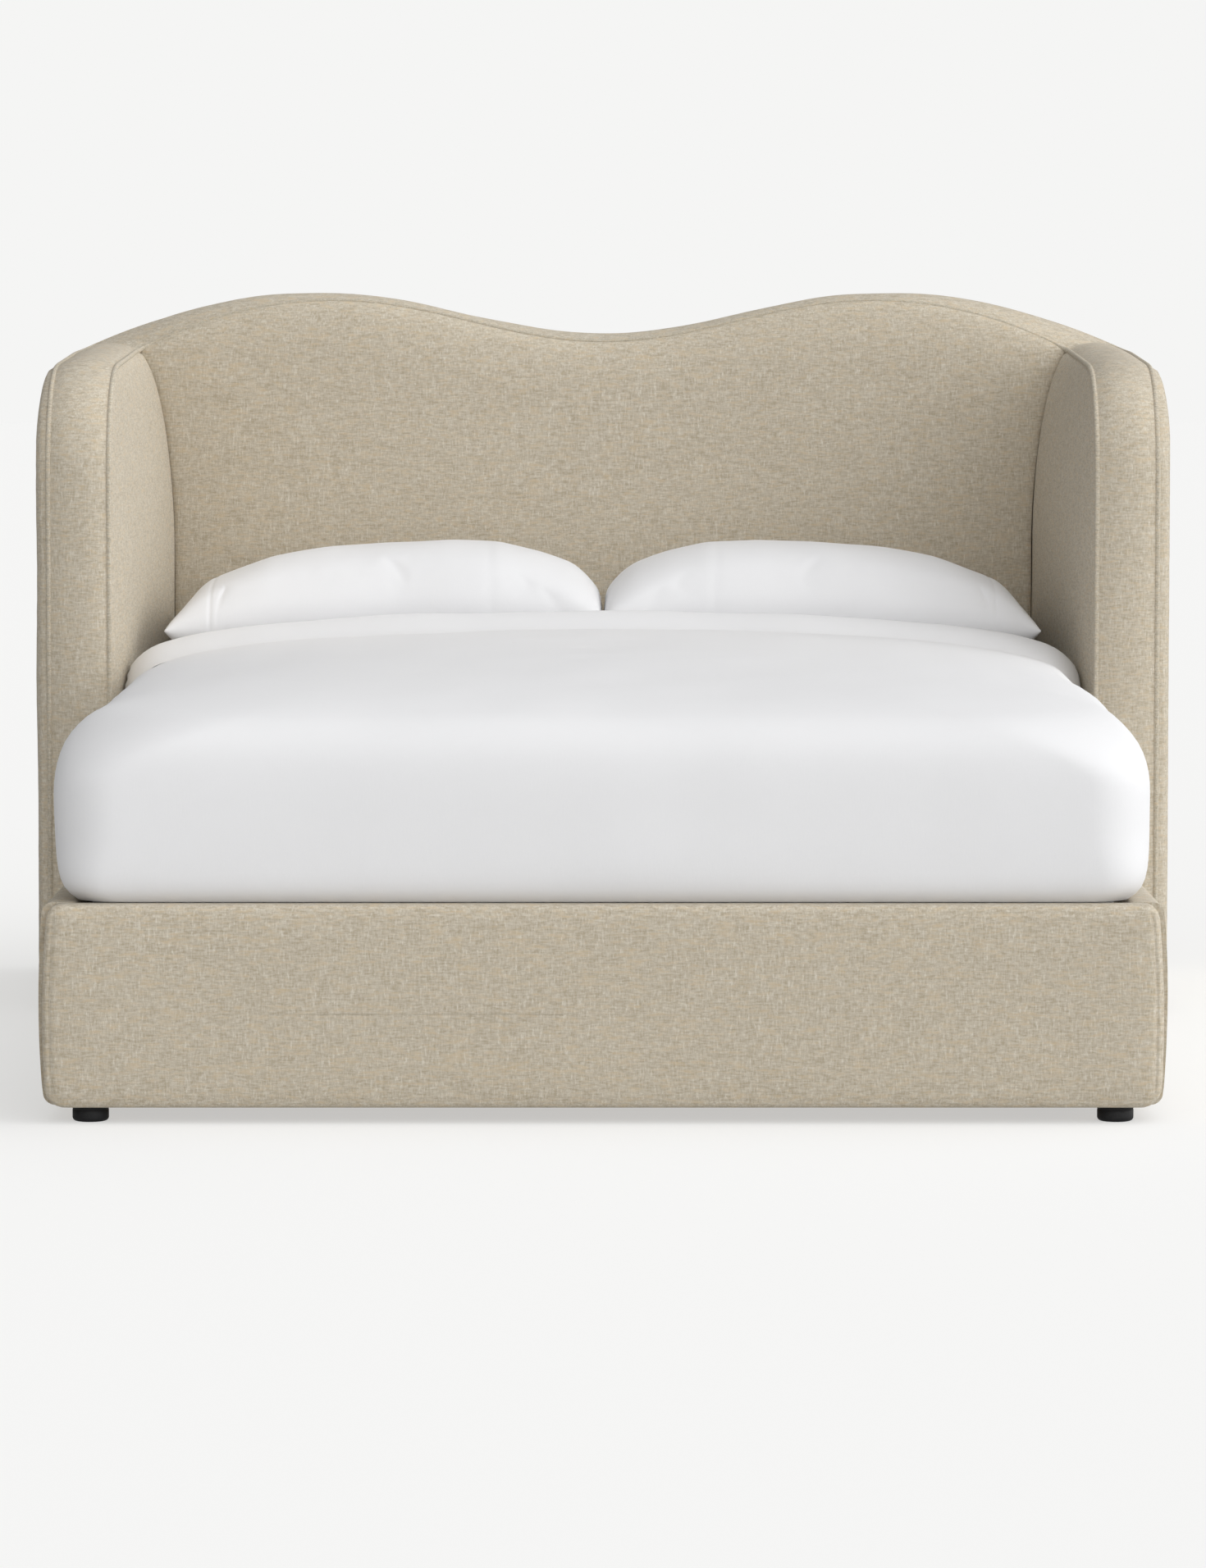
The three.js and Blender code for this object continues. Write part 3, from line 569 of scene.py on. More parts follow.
@dataclass(frozen=True)
class HeatheredLinen:
    """Coarse linen spun from pale, tan and straw-coloured fibres.

    Attributes:
        name: name of the material.
        dark: colour of the darkest threads, also painted into the low places of the weave as shade.
        pale: colour of the palest threads.
        straw: colour of the straw-coloured ones.
        fleck: colour of the few brightest flecks.
        pitch: distance between threads.
        slub: thickness of a slub.
        relief: height of the threads.
    """

    name: str = "heathered_linen"
    dark: Colour = (0.445, 0.380, 0.280)
    pale: Colour = (0.655, 0.605, 0.508)
    straw: Colour = (0.585, 0.470, 0.312)
    fleck: Colour = (0.76, 0.72, 0.64)
    pitch: float = 1.3 * MM
    slub: float = 4.2 * MM
    relief: float = 0.35 * MM

    def build(self, effects: Effects) -> bpy.types.Material:
        """Makes the material.

        Args:
            effects: the shared node groups.

        Returns:
            The material.
        """
        material, wiring, surface = start_material(self.name, 0.93)
        fine = wiring.group(effects.slubs, Size=self.slub * 0.6).outputs
        coarse = wiring.group(effects.slubs, Size=self.slub * 1.1).outputs
        weave = wiring.group(effects.weave, Pitch=self.pitch).outputs["Height"]
        crossed = wiring.plus(wiring.times(fine["Weft"], 0.54), wiring.times(fine["Warp"], 0.46))
        tone = wiring.plus(wiring.times(crossed, 0.8), wiring.times(coarse["Weft"], 0.2))
        colour = wiring.tint(wiring.spread(tone, 0.25, 0.75), self.dark, self.pale)
        straw_share = wiring.times(wiring.spread(coarse["Weft"], 0.5, 0.95), 0.7)
        colour = wiring.tint(straw_share, colour, self.straw)
        flecks = wiring.times(wiring.spread(fine["Warp"], 0.74, 1.0), 0.45)
        colour = wiring.tint(flecks, colour, self.fleck)
        # painted shade: the low places between the threads are tinted towards the dark thread colour
        weave_gap_shade = wiring.times(wiring.spread(weave, 0.4, 0.1), 0.3)
        colour = wiring.tint(weave_gap_shade, colour, self.dark)
        wiring.put(surface.inputs["Base Color"], colour)
        height = wiring.plus(weave, wiring.times(crossed, 1.2))
        wiring.put(surface.inputs["Normal"], wiring.bump(height, 0.75, self.relief))
        surface.inputs["Sheen Weight"].default_value = 0.12
        surface.inputs["Sheen Roughness"].default_value = 0.5
        return material


@dataclass(frozen=True)
class Cloth:
    """Fine, evenly coloured bedding cloth.

    Attributes:
        name: name of the material.
        colour: colour of the cloth.
        shade: how much its slow change of tone darkens it.
        pitch: distance between threads.
        relief: height of the threads.
        sheen: strength of the soft light that it catches at its edges.
    """

    name: str
    colour: Colour
    shade: float = 0.03
    pitch: float = 0.9 * MM
    relief: float = 0.1 * MM
    sheen: float = 0.1

    def build(self, effects: Effects) -> bpy.types.Material:
        """Makes the material.

        Args:
            effects: the shared node groups.

        Returns:
            The material.
        """
        material, wiring, surface = start_material(self.name, 0.88)
        slubs = wiring.group(effects.slubs, Size=2.4 * MM).outputs
        weave = wiring.group(effects.weave, Pitch=self.pitch).outputs["Height"]
        darker = tuple(part * 0.8 for part in self.colour)
        tone = wiring.plus(wiring.times(slubs["Weft"], 0.6), slubs["Cloud"])
        colour = wiring.tint(wiring.times(tone, self.shade), self.colour, darker)
        wiring.put(surface.inputs["Base Color"], colour)
        height = wiring.plus(weave, wiring.times(slubs["Warp"], 0.8))
        wiring.put(surface.inputs["Normal"], wiring.bump(height, 0.6, self.relief))
        surface.inputs["Sheen Weight"].default_value = self.sheen
        surface.inputs["Sheen Roughness"].default_value = 0.4
        return material


@dataclass(frozen=True)
class Timber:
    """Unvarnished timber or board whose grain runs along one axis.

    Attributes:
        name: name of the material.
        early: colour of the pale wood.
        late: colour of the dark lines.
        grain: axis that the grain runs along.
    """

    name: str
    early: Colour
    late: Colour
    grain: Grain

    def build(self, effects: Effects) -> bpy.types.Material:
        """Makes the material.

        Args:
            effects: the shared node groups.

        Returns:
            The material.
        """
        material, wiring, surface = start_material(self.name, 0.62)
        scales = [1.0, 1.0, 1.0]
        scales[self.grain.value] = 0.05
        wood = wiring.group(effects.grain, Across=scales[0], Along=scales[1], Up=scales[2]).outputs
        lines = wiring.times(wood["Grain"], 0.55)
        colour = wiring.tint(lines, self.early, self.late)
        colour = wiring.tint(wiring.times(wood["Pores"], 0.25), colour, self.late)
        wiring.put(surface.inputs["Base Color"], colour)
        wiring.put(surface.inputs["Roughness"], wiring.plus(0.52, wiring.times(wood["Pores"], 0.2)))
        wiring.put(surface.inputs["Normal"], wiring.bump(wood["Pores"], 0.3, 0.2 * MM))
        return material


@dataclass(frozen=True)
class Mottled:
    """A plain material whose tone and roughness vary a little, such as a painted or moulded one.

    Attributes:
        name: name of the material.
        colour: its colour.
        worn: colour of its lighter patches.
        roughness: roughness of the plain part.
        metallic: 1 for bare metal, or 0.
        size: size of the patches.
        relief: height of the unevenness.
    """

    name: str
    colour: Colour
    worn: Colour
    roughness: float
    metallic: float = 0.0
    size: float = 12 * MM
    relief: float = 0.1 * MM

    def build(self, effects: Effects) -> bpy.types.Material:
        """Makes the material.

        Args:
            effects: the shared node groups.

        Returns:
            The material.
        """
        material, wiring, surface = start_material(self.name, self.roughness)
        surface.inputs["Metallic"].default_value = self.metallic
        patches = wiring.group(effects.slubs, Size=self.size / 14.0).outputs
        share = wiring.times(wiring.times(patches["Cloud"], patches["Warp"]), 0.7)
        wiring.put(surface.inputs["Base Color"], wiring.tint(share, self.colour, self.worn))
        uneven = wiring.times(patches["Cloud"], 0.15)
        wiring.put(surface.inputs["Roughness"], wiring.plus(self.roughness, uneven))
        wiring.put(surface.inputs["Normal"], wiring.bump(patches["Warp"], 0.4, self.relief))
        return material


class Slot(Enum):
    """The record's finishes, as the pieces name them."""

    LINEN = "linen"
    PIPING = "linen_piping"
    FOAM = "foam"
    PLYWOOD = "plywood"
    SOFTWOOD = "softwood"
    HARDBOARD = "hardboard"
    STEEL = "steel"
    FOOT = "black_foot"
    TICKING = "ticking"
    COTTON = "cotton"


@dataclass
class Wardrobe:
    """All the materials, and the dressing of pieces in them.

    Attributes:
        effects: the shared node groups.
    """

    effects: Effects

    def __post_init__(self) -> None:
        """Builds every material once."""
        finishes = {
            Slot.LINEN: HeatheredLinen(),
            Slot.PIPING: HeatheredLinen("linen_on_the_bias", dark=(0.40, 0.35, 0.265), slub=2.6 * MM),
            Slot.TICKING: Cloth("mattress_cloth", (0.78, 0.78, 0.77), shade=0.12, relief=0.25 * MM),
            Slot.COTTON: Cloth("washed_cotton", (0.80, 0.80, 0.81)),
            Slot.STEEL: Mottled("black_steel", (0.05, 0.05, 0.055), (0.12, 0.12, 0.12), 0.42, 1.0),
            Slot.FOOT: Mottled("black_moulding", (0.010, 0.010, 0.011), (0.022, 0.022, 0.023), 0.42),
        }
        self.materials = {slot: finish.build(self.effects) for slot, finish in finishes.items()}
        self.timbers: dict[tuple[Slot, Grain], bpy.types.Material] = {}

    def timber(self, slot: Slot, grain: Grain) -> bpy.types.Material:
        """The wood of a slot with its grain along an axis, built when it is first asked for.

        Args:
            slot: plywood, softwood or hardboard.
            grain: axis that the grain runs along.

        Returns:
            The material.
        """
        tones = {
            Slot.PLYWOOD: ((0.60, 0.42, 0.22), (0.40, 0.25, 0.11)),
            Slot.SOFTWOOD: ((0.68, 0.50, 0.28), (0.50, 0.31, 0.13)),
            Slot.HARDBOARD: ((0.24, 0.145, 0.07), (0.15, 0.085, 0.04)),
        }
        if (slot, grain) not in self.timbers:
            early, late = tones[slot]
            made = Timber(f"{slot.value}_grain_{grain.name.lower()}", early, late, grain)
            self.timbers[slot, grain] = made.build(self.effects)
        return self.timbers[slot, grain]

    def dress(self, piece: Piece, slot: Slot) -> Piece:
        """Gives a new piece its material."""
        piece.data.materials.clear()
        piece.data.materials.append(self.materials[slot])
        return piece

    def repaint(self, node: Piece, material: bpy.types.Material) -> None:
        """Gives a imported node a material."""
        if not node.material_slots:
            node.data.materials.append(material)
        for place in node.material_slots:
            place.material = material


# ---------------------------------------------------------------- the shell's shape


@dataclass(frozen=True)
class ShellShape:
    """Outline of the headboard and wings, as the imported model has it.

    Attributes:
        inner_half: half the width between the inner pipings.
        outer_half: half the width between the outer pipings.
        wing_plane: y of the wings' front edges.
        back_plane: y of the headboard's inner piping.
        rear_plane: y of the headboard's outer piping.
        floor_gap: height of the covers' lower edges.
        cord: radius of the piping.
        centre: height of the headboard's middle.
        peak: height of its two swells.
        peak_offset: distance of each swell from the middle.
        corner: height of its corners.
        slope: fall of a wing's top for each metre towards its front.
        round_length: length of the round at a wing's front corner.
        round_height: height of that round.
        round_power: how square that round is.
        fullness: how far the wing pads stand in at their fullest.
        pad_roll: height over which a wing pad rolls in below its edge.
    """

    inner_half: float
    outer_half: float
    wing_plane: float
    back_plane: float
    rear_plane: float
    floor_gap: float
    cord: float = 4.5 * MM
    centre: float = 1144 * MM
    peak: float = 1218 * MM
    peak_offset: float = 480 * MM
    corner: float = 1127 * MM
    slope: float = 0.05
    round_length: float = 200 * MM
    round_height: float = 185 * MM
    round_power: float = 2.2
    fullness: float = 70 * MM
    pad_roll: float = 340 * MM

    @classmethod
    def measured(cls) -> ShellShape:
        """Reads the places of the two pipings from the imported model."""
        inner_low, inner_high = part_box("inner_piping")
        _, outer_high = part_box("outer_piping")
        cord = cls.cord
        return cls(
            inner_half=inner_high.x - cord,
            outer_half=outer_high.x - cord,
            wing_plane=inner_low.y + cord * math.sin(math.pi / 3),
            back_plane=inner_high.y - cord * math.sin(math.pi / 3),
            rear_plane=outer_high.y - cord * math.sin(math.pi / 3),
            floor_gap=inner_low.z,
        )

    def wave(self, u: np.ndarray | float) -> np.ndarray:
        """Height of the headboard's top for u from -1 at one corner to 1 at the other."""
        t = np.clip(np.abs(u), 0.0, 1.0)
        peak = self.peak_offset / self.inner_half
        rise = self.centre + (self.peak - self.centre) * (1.0 - np.cos(math.pi * t / peak)) / 2.0
        past = np.clip((t - peak) / (1.0 - peak), 0.0, 1.0)
        return np.where(t < peak, rise, self.peak - (self.peak - self.corner) * past**2.1)

    def wing_top(self, y: np.ndarray | float) -> np.ndarray:
        """Height of a wing's top edge."""
        line = self.corner - self.slope * np.maximum(self.back_plane - np.asarray(y), 0.0)
        past = (np.asarray(y) - self.wing_plane) / self.round_length
        return line - self.round_height * (1.0 - roll(past, self.round_power))

    def outer_top(self, y: np.ndarray | float) -> np.ndarray:
        """Height of a wing's outer piping, which rises straight to the rear corner."""
        share = np.clip((np.asarray(y) - self.crossing) / (self.rear_plane - self.crossing), 0.0, 1.0)
        return blend(self.wing_top(np.minimum(y, self.crossing)), self.corner, share)

    @property
    def crossing(self) -> float:
        """The y where the band over a wing starts to turn the corner."""
        return self.back_plane - (self.rear_plane - self.back_plane)

    def wing_bulge(self, y: np.ndarray | float, z: np.ndarray | float) -> np.ndarray:
        """How far a wing's pad stands in from its piping."""
        along = np.clip((np.asarray(y) - self.wing_plane) / (self.back_plane - self.wing_plane), 0.0, 1.0)
        return self.fullness * roll((self.wing_top(y) - z) / self.pad_roll, 1.8) * along**0.75

    def seam_half(self, z: np.ndarray | float) -> np.ndarray:
        """Half the width between the seams where the wing pads meet the headboard's pad."""
        return self.inner_half - self.wing_bulge(self.back_plane, z)

    def wing_run(self) -> np.ndarray:
        """Stations up the front of a wing and back along its top.

        Returns:
            Rows of the inner edge's y, the outer edge's y, and both edges' heights.
        """
        foot = np.arange(self.floor_gap, float(self.wing_top(self.wing_plane)), 14 * MM)
        front = [(self.wing_plane, self.wing_plane, z, z) for z in foot]
        angles = np.linspace(0.0, math.pi / 2.0, 42)
        depths = self.round_length * (1.0 - np.cos(angles) ** (2.0 / self.round_power))
        top = np.concatenate([self.wing_plane + depths, np.linspace(
            self.wing_plane + self.round_length, self.crossing, 34)[1:]])
        over = [(y, y, float(self.wing_top(y)), float(self.wing_top(y))) for y in top]
        shares = np.linspace(0.0, 1.0, 20)[1:-1]
        turn = [
            (
                float(blend(self.crossing, self.back_plane, t)),
                float(blend(self.crossing, self.rear_plane, t)),
                float(self.wing_top(blend(self.crossing, self.back_plane, t))),
                float(self.outer_top(blend(self.crossing, self.rear_plane, t))),
            )
            for t in shares
        ]
        return np.array(front + over + turn)

    def border(self) -> tuple[np.ndarray, np.ndarray]:
        """The inner and outer edges of the border band, from one wing's foot to the other's.

        Returns:
            Points of the inner edge and of the outer edge, matched one to one.
        """
        run = self.wing_run()
        edges = []
        for half, rear, y_column, z_column in (
            (self.inner_half, self.back_plane, 0, 2),
            (self.outer_half, self.rear_plane, 1, 3),
        ):
            u = np.linspace(-1.0, 1.0, 181)
            back = np.stack([u * half, np.full_like(u, rear), self.wave(u)], axis=1)
            side = np.stack([np.full(len(run), half), run[:, y_column], run[:, z_column]], axis=1)
            left = side * Side.LEFT.mirror
            edges.append(softened(np.concatenate([left, back, side[::-1]]), 14))
        return edges[0], edges[1]


def softened(path: np.ndarray, passes: int) -> np.ndarray:
    """Rounds the corners of a path a little, by averaging neighbours some number of times."""
    path = path.copy()
    for _ in range(passes):
        path[1:-1] = 0.25 * path[:-2] + 0.5 * path[1:-1] + 0.25 * path[2:]
    return path


def backing(face: np.ndarray, axis: int, place: float, top: np.ndarray) -> np.ndarray:
    """The inner sheet of a pad: flat, and a little lower than the outer one along its top edge.

    Args:
        face: points of the outer sheet.
        axis: the direction that the inner sheet is flat in.
        place: where it lies in that direction.
        top: height of the top edge.

    Returns:
        Points of the inner sheet.
    """
    back = face.copy()
    back[..., axis] = place
    back[..., 2] = np.minimum(face[..., 2], top - 8 * MM)
    return back


@dataclass
class Upholstery:
    """What every covered part of the bed shares.

    Attributes:
        shape: the shell's outline.
        wardrobe: the materials.
    """

    shape: ShellShape
    wardrobe: Wardrobe

    def finish(self, piece: Piece, *nodes: str, fill: float = 0.8, slot: Slot = Slot.LINEN) -> Piece:
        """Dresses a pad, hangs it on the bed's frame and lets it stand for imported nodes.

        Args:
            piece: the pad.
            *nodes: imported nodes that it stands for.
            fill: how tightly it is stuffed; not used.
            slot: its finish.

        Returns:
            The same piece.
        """
        self.wardrobe.dress(piece, slot)
        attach(piece, "frame")
        if nodes:
            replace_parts(piece, *nodes)
        return piece


def plump(t: np.ndarray, shoulder: float = 0.3, power: float = 2.2) -> np.ndarray:
    """A level top that rolls down to 0 at both ends, as t goes from 0 to 1."""
    return roll(np.minimum(t, 1.0 - t) / shoulder, power)


# ---------------------------------------------------------------- headboard and wings


@dataclass
class Headboard(Upholstery):
    """The headboard's front pad and rear cover.

    Attributes:
        pad_foot: height of the front pad's lower edge.
        crown: how far the front pad stands forward of its piping.
        top_roll: height over which it rolls forward below its edge.
        valley: how far it falls back at the seams beside the wing pads.
        rear_crown: how far the rear cover swells.
    """

    pad_foot: float = 335 * MM
    crown: float = 35 * MM
    top_roll: float = 110 * MM
    valley: float = 5 * MM
    rear_crown: float = 10 * MM

    def build(self) -> list[Piece]:
        """Makes both pieces and dresses them."""
        return [
            self.finish(self.front_pad(), "headboard_foam", "headboard_front_cover"),
            self.finish(self.rear_cover(), "headboard_back_cover"),
        ]

    def front_pad(self) -> Piece:
        """The waved pad that faces the bed.

        Returns:
            The new piece.
        """
        shape = self.shape
        u = spaced((-1.0, -0.93, 0.93, 1.0), (14, 150, 14))[:, None]
        rise = spaced((0.0, 0.75, 0.94, 1.0), (36, 22, 18))[None, :]
        top = shape.wave(u)
        z = blend(self.pad_foot, top, rise)
        x = u * (shape.seam_half(np.minimum(z, shape.corner)) + 3 * MM)
        fall = top - z
        fullness = roll(fall / self.top_roll, 2.0)
        beside = (1.0 - np.abs(u)) * shape.inner_half
        forward = self.crown * fullness * (1.0 - 0.25 * np.abs(u) ** 5)
        forward = forward - self.valley * (1.0 - roll(beside / (26 * MM), 2.0)) * fullness
        points = np.stack([x, np.full_like(x, shape.back_plane), z], axis=-1)
        swell = Undulation(1.1 * MM, 0.34, 11).at(points) + Undulation(0.35 * MM, 0.09, 12).at(points)
        gather = Puckers(0.55 * MM, 34 * MM, 38 * MM, 13).at(x, fall)
        gather = gather + Puckers(0.5 * MM, 42 * MM, 30 * MM, 14).at(z, beside)
        points[..., 1] -= forward + (swell + gather) * fullness
        back = backing(points, 1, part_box("headboard_foam")[1].y, top)
        return slab("headboard_front_pad", points, back)

    def rear_cover(self) -> Piece:
        """The cover stretched over the headboard's back.

        Returns:
            The new piece.
        """
        shape = self.shape
        u = spaced((-1.0, -0.9, 0.9, 1.0), (14, 110, 14))[:, None]
        rise = spaced((0.0, 0.08, 0.88, 1.0), (12, 40, 18))[None, :]
        z = blend(shape.floor_gap, shape.wave(u), rise)
        x = u * shape.outer_half + 0.0 * z
        points = np.stack([x, np.full_like(x, shape.rear_plane), z], axis=-1)
        fullness = plump((u + 1.0) / 2.0, 0.05) * plump(rise, 0.08)
        uneven = Undulation(0.8 * MM, 0.4, 21).at(points)
        points[..., 1] += (self.rear_crown + uneven) * fullness
        back = backing(points, 1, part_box("headboard_back_cover")[0].y, shape.wave(u))
        return slab("headboard_rear_cover", points, back)


@dataclass
class Wing(Upholstery):
    """One wing's inner pad and outer cover.

    Attributes:
        side: the side of the bed it is on.
        pad_foot: height below which the inner cover is flat, behind the rail.
        valley: how far the pad falls back at the seam beside the headboard.
        outer_crown: how far the outer cover swells.
    """

    side: Side = Side.LEFT
    pad_foot: float = 328 * MM
    valley: float = 3 * MM
    outer_crown: float = 25 * MM

    def build(self) -> list[Piece]:
        """Makes both pieces and dresses them."""
        word = self.side.word
        return [
            self.finish(self.inner_pad(), f"{word}_wing_foam", f"{word}_wing_inner_cover"),
            self.finish(self.outer_cover(), f"{word}_wing_outer_cover"),
        ]

    def inner_pad(self) -> Piece:
        """The pad that faces the mattress, flat where it goes down behind the rail.

        Returns:
            The new piece.
        """
        shape = self.shape
        ends = (shape.wing_plane, shape.back_plane)
        y = spaced((ends[0], ends[0] + 40 * MM, ends[1] - 60 * MM, ends[1]), (14, 62, 18))[:, None]
        top = shape.wing_top(y)
        low = spaced((shape.floor_gap, self.pad_foot, self.pad_foot + 30 * MM), (6, 10))
        high = spaced((0.0, 0.8, 1.0), (40, 26))[1:]
        foot = np.broadcast_to(low, (len(y), len(low)))
        z = np.concatenate([foot, blend(low[-1], top, high[None, :])], axis=1)
        fall = top - z
        fullness = ease((z - self.pad_foot) / (28 * MM)) * roll(fall / (60 * MM), 2.0)
        bulge = shape.wing_bulge(y, z) * ease((z - self.pad_foot) / (28 * MM))
        beside = shape.back_plane - y
        bulge = bulge - self.valley * (1.0 - roll((beside - 20 * MM) / (24 * MM), 2.0)) * fullness
        points = np.stack([np.full_like(z, shape.inner_half), np.broadcast_to(y, z.shape), z], axis=-1)
        front = y - shape.wing_plane
        swell = Undulation(1.0 * MM, 0.3, 31 + self.side.value).at(points)
        gather = Puckers(0.5 * MM, 33 * MM, 34 * MM, 33).at(z, front + 0.0 * z)
        gather = gather + Puckers(0.5 * MM, 30 * MM, 34 * MM, 34).at(y + 0.0 * z, fall)
        soft = fullness * ease(front / (25 * MM))
        points[..., 0] += 1 * MM * (z < self.pad_foot) - np.maximum(bulge + (swell + gather) * soft, -1 * MM)
        back = backing(points, 0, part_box("right_wing_foam")[1].x, top)
        return slab(f"{self.side.word}_wing_inner_pad", points * self.side.mirror, back * self.side.mirror)

    def outer_cover(self) -> Piece:
        """The padded cover on the outside of the wing.

        Returns:
            The new piece.
        """
        shape = self.shape
        ends = (shape.wing_plane, shape.rear_plane)
        y = spaced((ends[0], ends[0] + 60 * MM, ends[1] - 60 * MM, ends[1]), (20, 56, 16))[:, None]
        along = (y - ends[0]) / (ends[1] - ends[0])
        top = shape.outer_top(y)
        rise = spaced((0.0, 0.08, 0.85, 1.0), (12, 40, 22))[None, :]
        z = blend(shape.floor_gap, top, rise)
        points = np.stack([np.full_like(z, shape.outer_half), np.broadcast_to(y, z.shape), z], axis=-1)
        fullness = plump(along, 0.09, 2.6) * plump(rise, 0.07, 2.6)
        uneven = Undulation(1.0 * MM, 0.35, 41 + self.side.value).at(points)
        gather = Puckers(0.5 * MM, 36 * MM, 40 * MM, 43).at(z, y - ends[0] + 0.0 * z)
        points[..., 0] += (self.outer_crown + uneven + gather) * fullness
        back = backing(points, 0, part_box("right_wing_outer_cover")[0].x, top)
        return slab(f"{self.side.word}_wing_outer_pad", points * self.side.mirror, back * self.side.mirror)


@dataclass
class BorderTrim(Upholstery):
    """The band round the shell's edge, and the piping along both of its seams.

    Attributes:
        crown: how far the band swells between its seams.
        depth: thickness of the band.
        seam: depth of the mitre seams at the rear corners.
    """

    crown: float = 14 * MM
    depth: float = 6 * MM
    seam: float = 2.2 * MM

    def build(self) -> list[Piece]:
        """Makes the band and both pipings and dresses them."""
        inner, outer = self.shape.border()
        pieces = [self.finish(self.band(inner, outer), "border_band")]
        for name, path in (("inner_piping", inner), ("outer_piping", outer)):
            cord = sweep(f"{name}_cord", path, self.shape.cord, 14)
            pieces.append(self.finish(cord, name, fill=1.0, slot=Slot.PIPING))
        return pieces

    def band(self, inner: np.ndarray, outer: np.ndarray) -> Piece:
        """The band between the two seams.

        Args:
            inner: points along its inner seam.
            outer: points along its outer seam.

        Returns:
            The new piece.
        """
        shape = self.shape
        across = outer - inner
        run = np.gradient(inner + outer, axis=0)
        normal = np.cross(run, across)
        normal /= np.linalg.norm(normal, axis=1)[:, None]
        middle = (inner + outer) / 2.0
        hub = np.array([0.0, shape.back_plane - 60 * MM, 0.3])
        outward = (middle - hub) * np.array([0.0, 1.0, 1.0])
        normal *= np.sign(np.sum(normal * outward, axis=1))[:, None]
        for _ in range(6):
            normal[1:-1] = (normal[:-2] + 2.0 * normal[1:-1] + normal[2:]) / 4.0
            normal /= np.linalg.norm(normal, axis=1)[:, None]
        v = spaced((0.0, 0.2, 0.8, 1.0), (7, 8, 7))[None, :, None]
        points = blend(inner[:, None, :], outer[:, None, :], v)
        along = np.concatenate([[0.0], np.cumsum(np.linalg.norm(np.diff(middle, axis=0), axis=1))])[:, None]
        width = np.linalg.norm(across, axis=1)[:, None]
        away = np.minimum(v[..., 0], 1.0 - v[..., 0]) * width
        arch = 1.0 - np.abs(2.0 * v[..., 0] - 1.0) ** 2.3
        gather = Puckers(0.45 * MM, 30 * MM, 22 * MM, 51).at(along + 0.0 * away, away)
        uneven = Undulation(0.8 * MM, 0.2, 52).at(points)
        mitre = self.seam * sum(bell(along - along[spot], 4.5 * MM) for spot in self.corners(inner))
        lift = (self.crown + uneven) * arch + gather - mitre * arch
        face = points + normal[:, None, :] * lift[..., None]
        back = points + normal[:, None, :] * (self.crown * arch - self.depth)[..., None]
        return slab("border_band_cover", face, back)

    def corners(self, inner: np.ndarray) -> list[int]:
        """Numbers of the stations at the headboard's two rear corners."""
        corner = np.array([self.shape.inner_half, self.shape.back_plane, self.shape.corner])
        spots = (corner, corner * Side.LEFT.mirror)
        return [int(np.argmin(np.linalg.norm(inner - spot, axis=1))) for spot in spots]


# ---------------------------------------------------------------- rails and footboard


@dataclass
class SideRail(Upholstery):
    """One side rail's wrapped and padded outside.

    Attributes:
        side: the side of the bed it is on.
        top_radius: radius of its upper edges.
        bottom_radius: radius of its outer lower edge.
        wrap: thickness of the padded cover.
    """

    side: Side = Side.LEFT
    top_radius: float = 16 * MM
    bottom_radius: float = 18 * MM
    wrap: float = 10 * MM

    def build(self) -> list[Piece]:
        """Makes the wrapped rail and dresses it."""
        word = self.side.word
        return [self.finish(self.wrapping(), f"{word}_rail_foam", f"{word}_rail_cover")]

    def section(self, inset: float) -> np.ndarray:
        """The rail's outline from its inner foot over its top to its outer foot.

        Args:
            inset: distance in from the outline.

        Returns:
            Rows of x and z on the right-hand side of the bed.
        """
        low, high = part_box("right_rail_cover")
        crown = 6 * MM
        outer = high.x - crown

        def arc(x: float, z: float, radius: float, start: float, end: float) -> np.ndarray:
            """Points round part of a circle, between two angles in degrees."""
            angle = np.radians(np.linspace(start, end, 9))
            return np.stack([x + radius * np.cos(angle), z + radius * np.sin(angle)], axis=1)

        top = high.z - self.top_radius
        foot = low.z + self.bottom_radius
        inner_heights = np.linspace(low.z + inset, top, 10, endpoint=False)
        inner_side = np.stack([np.full(10, low.x + inset), inner_heights], axis=1)
        heights = np.linspace(top, foot, 34)[1:-1]
        swell = crown * np.sin(math.pi * (heights - foot) / (top - foot)) ** 0.7
        outer_side = np.stack([outer - inset + swell, heights], axis=1)
        return np.concatenate([
            inner_side,
            arc(low.x + self.top_radius, top, self.top_radius - inset, 180, 90),
            arc(outer - self.top_radius, top, self.top_radius - inset, 90, 0),
            outer_side,
            arc(outer - self.bottom_radius, foot, self.bottom_radius - inset, 0, -90),
        ])

    def wrapping(self) -> Piece:
        """The cover wrapped over the rail's board.

        Returns:
            The new piece.
        """
        low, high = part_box("right_rail_cover")
        y = np.linspace(low.y, high.y, 150)[:, None]
        sheets = []
        for inset in (0.0, self.wrap):
            outline = self.section(inset)
            x = np.broadcast_to(outline[None, :, 0], (len(y), len(outline)))
            z = np.broadcast_to(outline[None, :, 1], x.shape)
            sheets.append(np.stack([x, np.broadcast_to(y, x.shape), z], axis=-1))
        face = sheets[0]
        uneven = Undulation(0.9 * MM, 0.28, 61 + self.side.value).at(face)
        rise = np.clip((face[..., 2] - low.z) / (high.z - low.z), 0.0, 1.0)
        face[..., 0] += uneven * np.sin(math.pi * rise) * (face[..., 0] > low.x + 2 * self.top_radius)
        return slab(f"{self.side.word}_rail_wrapping", face * self.side.mirror, sheets[1] * self.side.mirror)


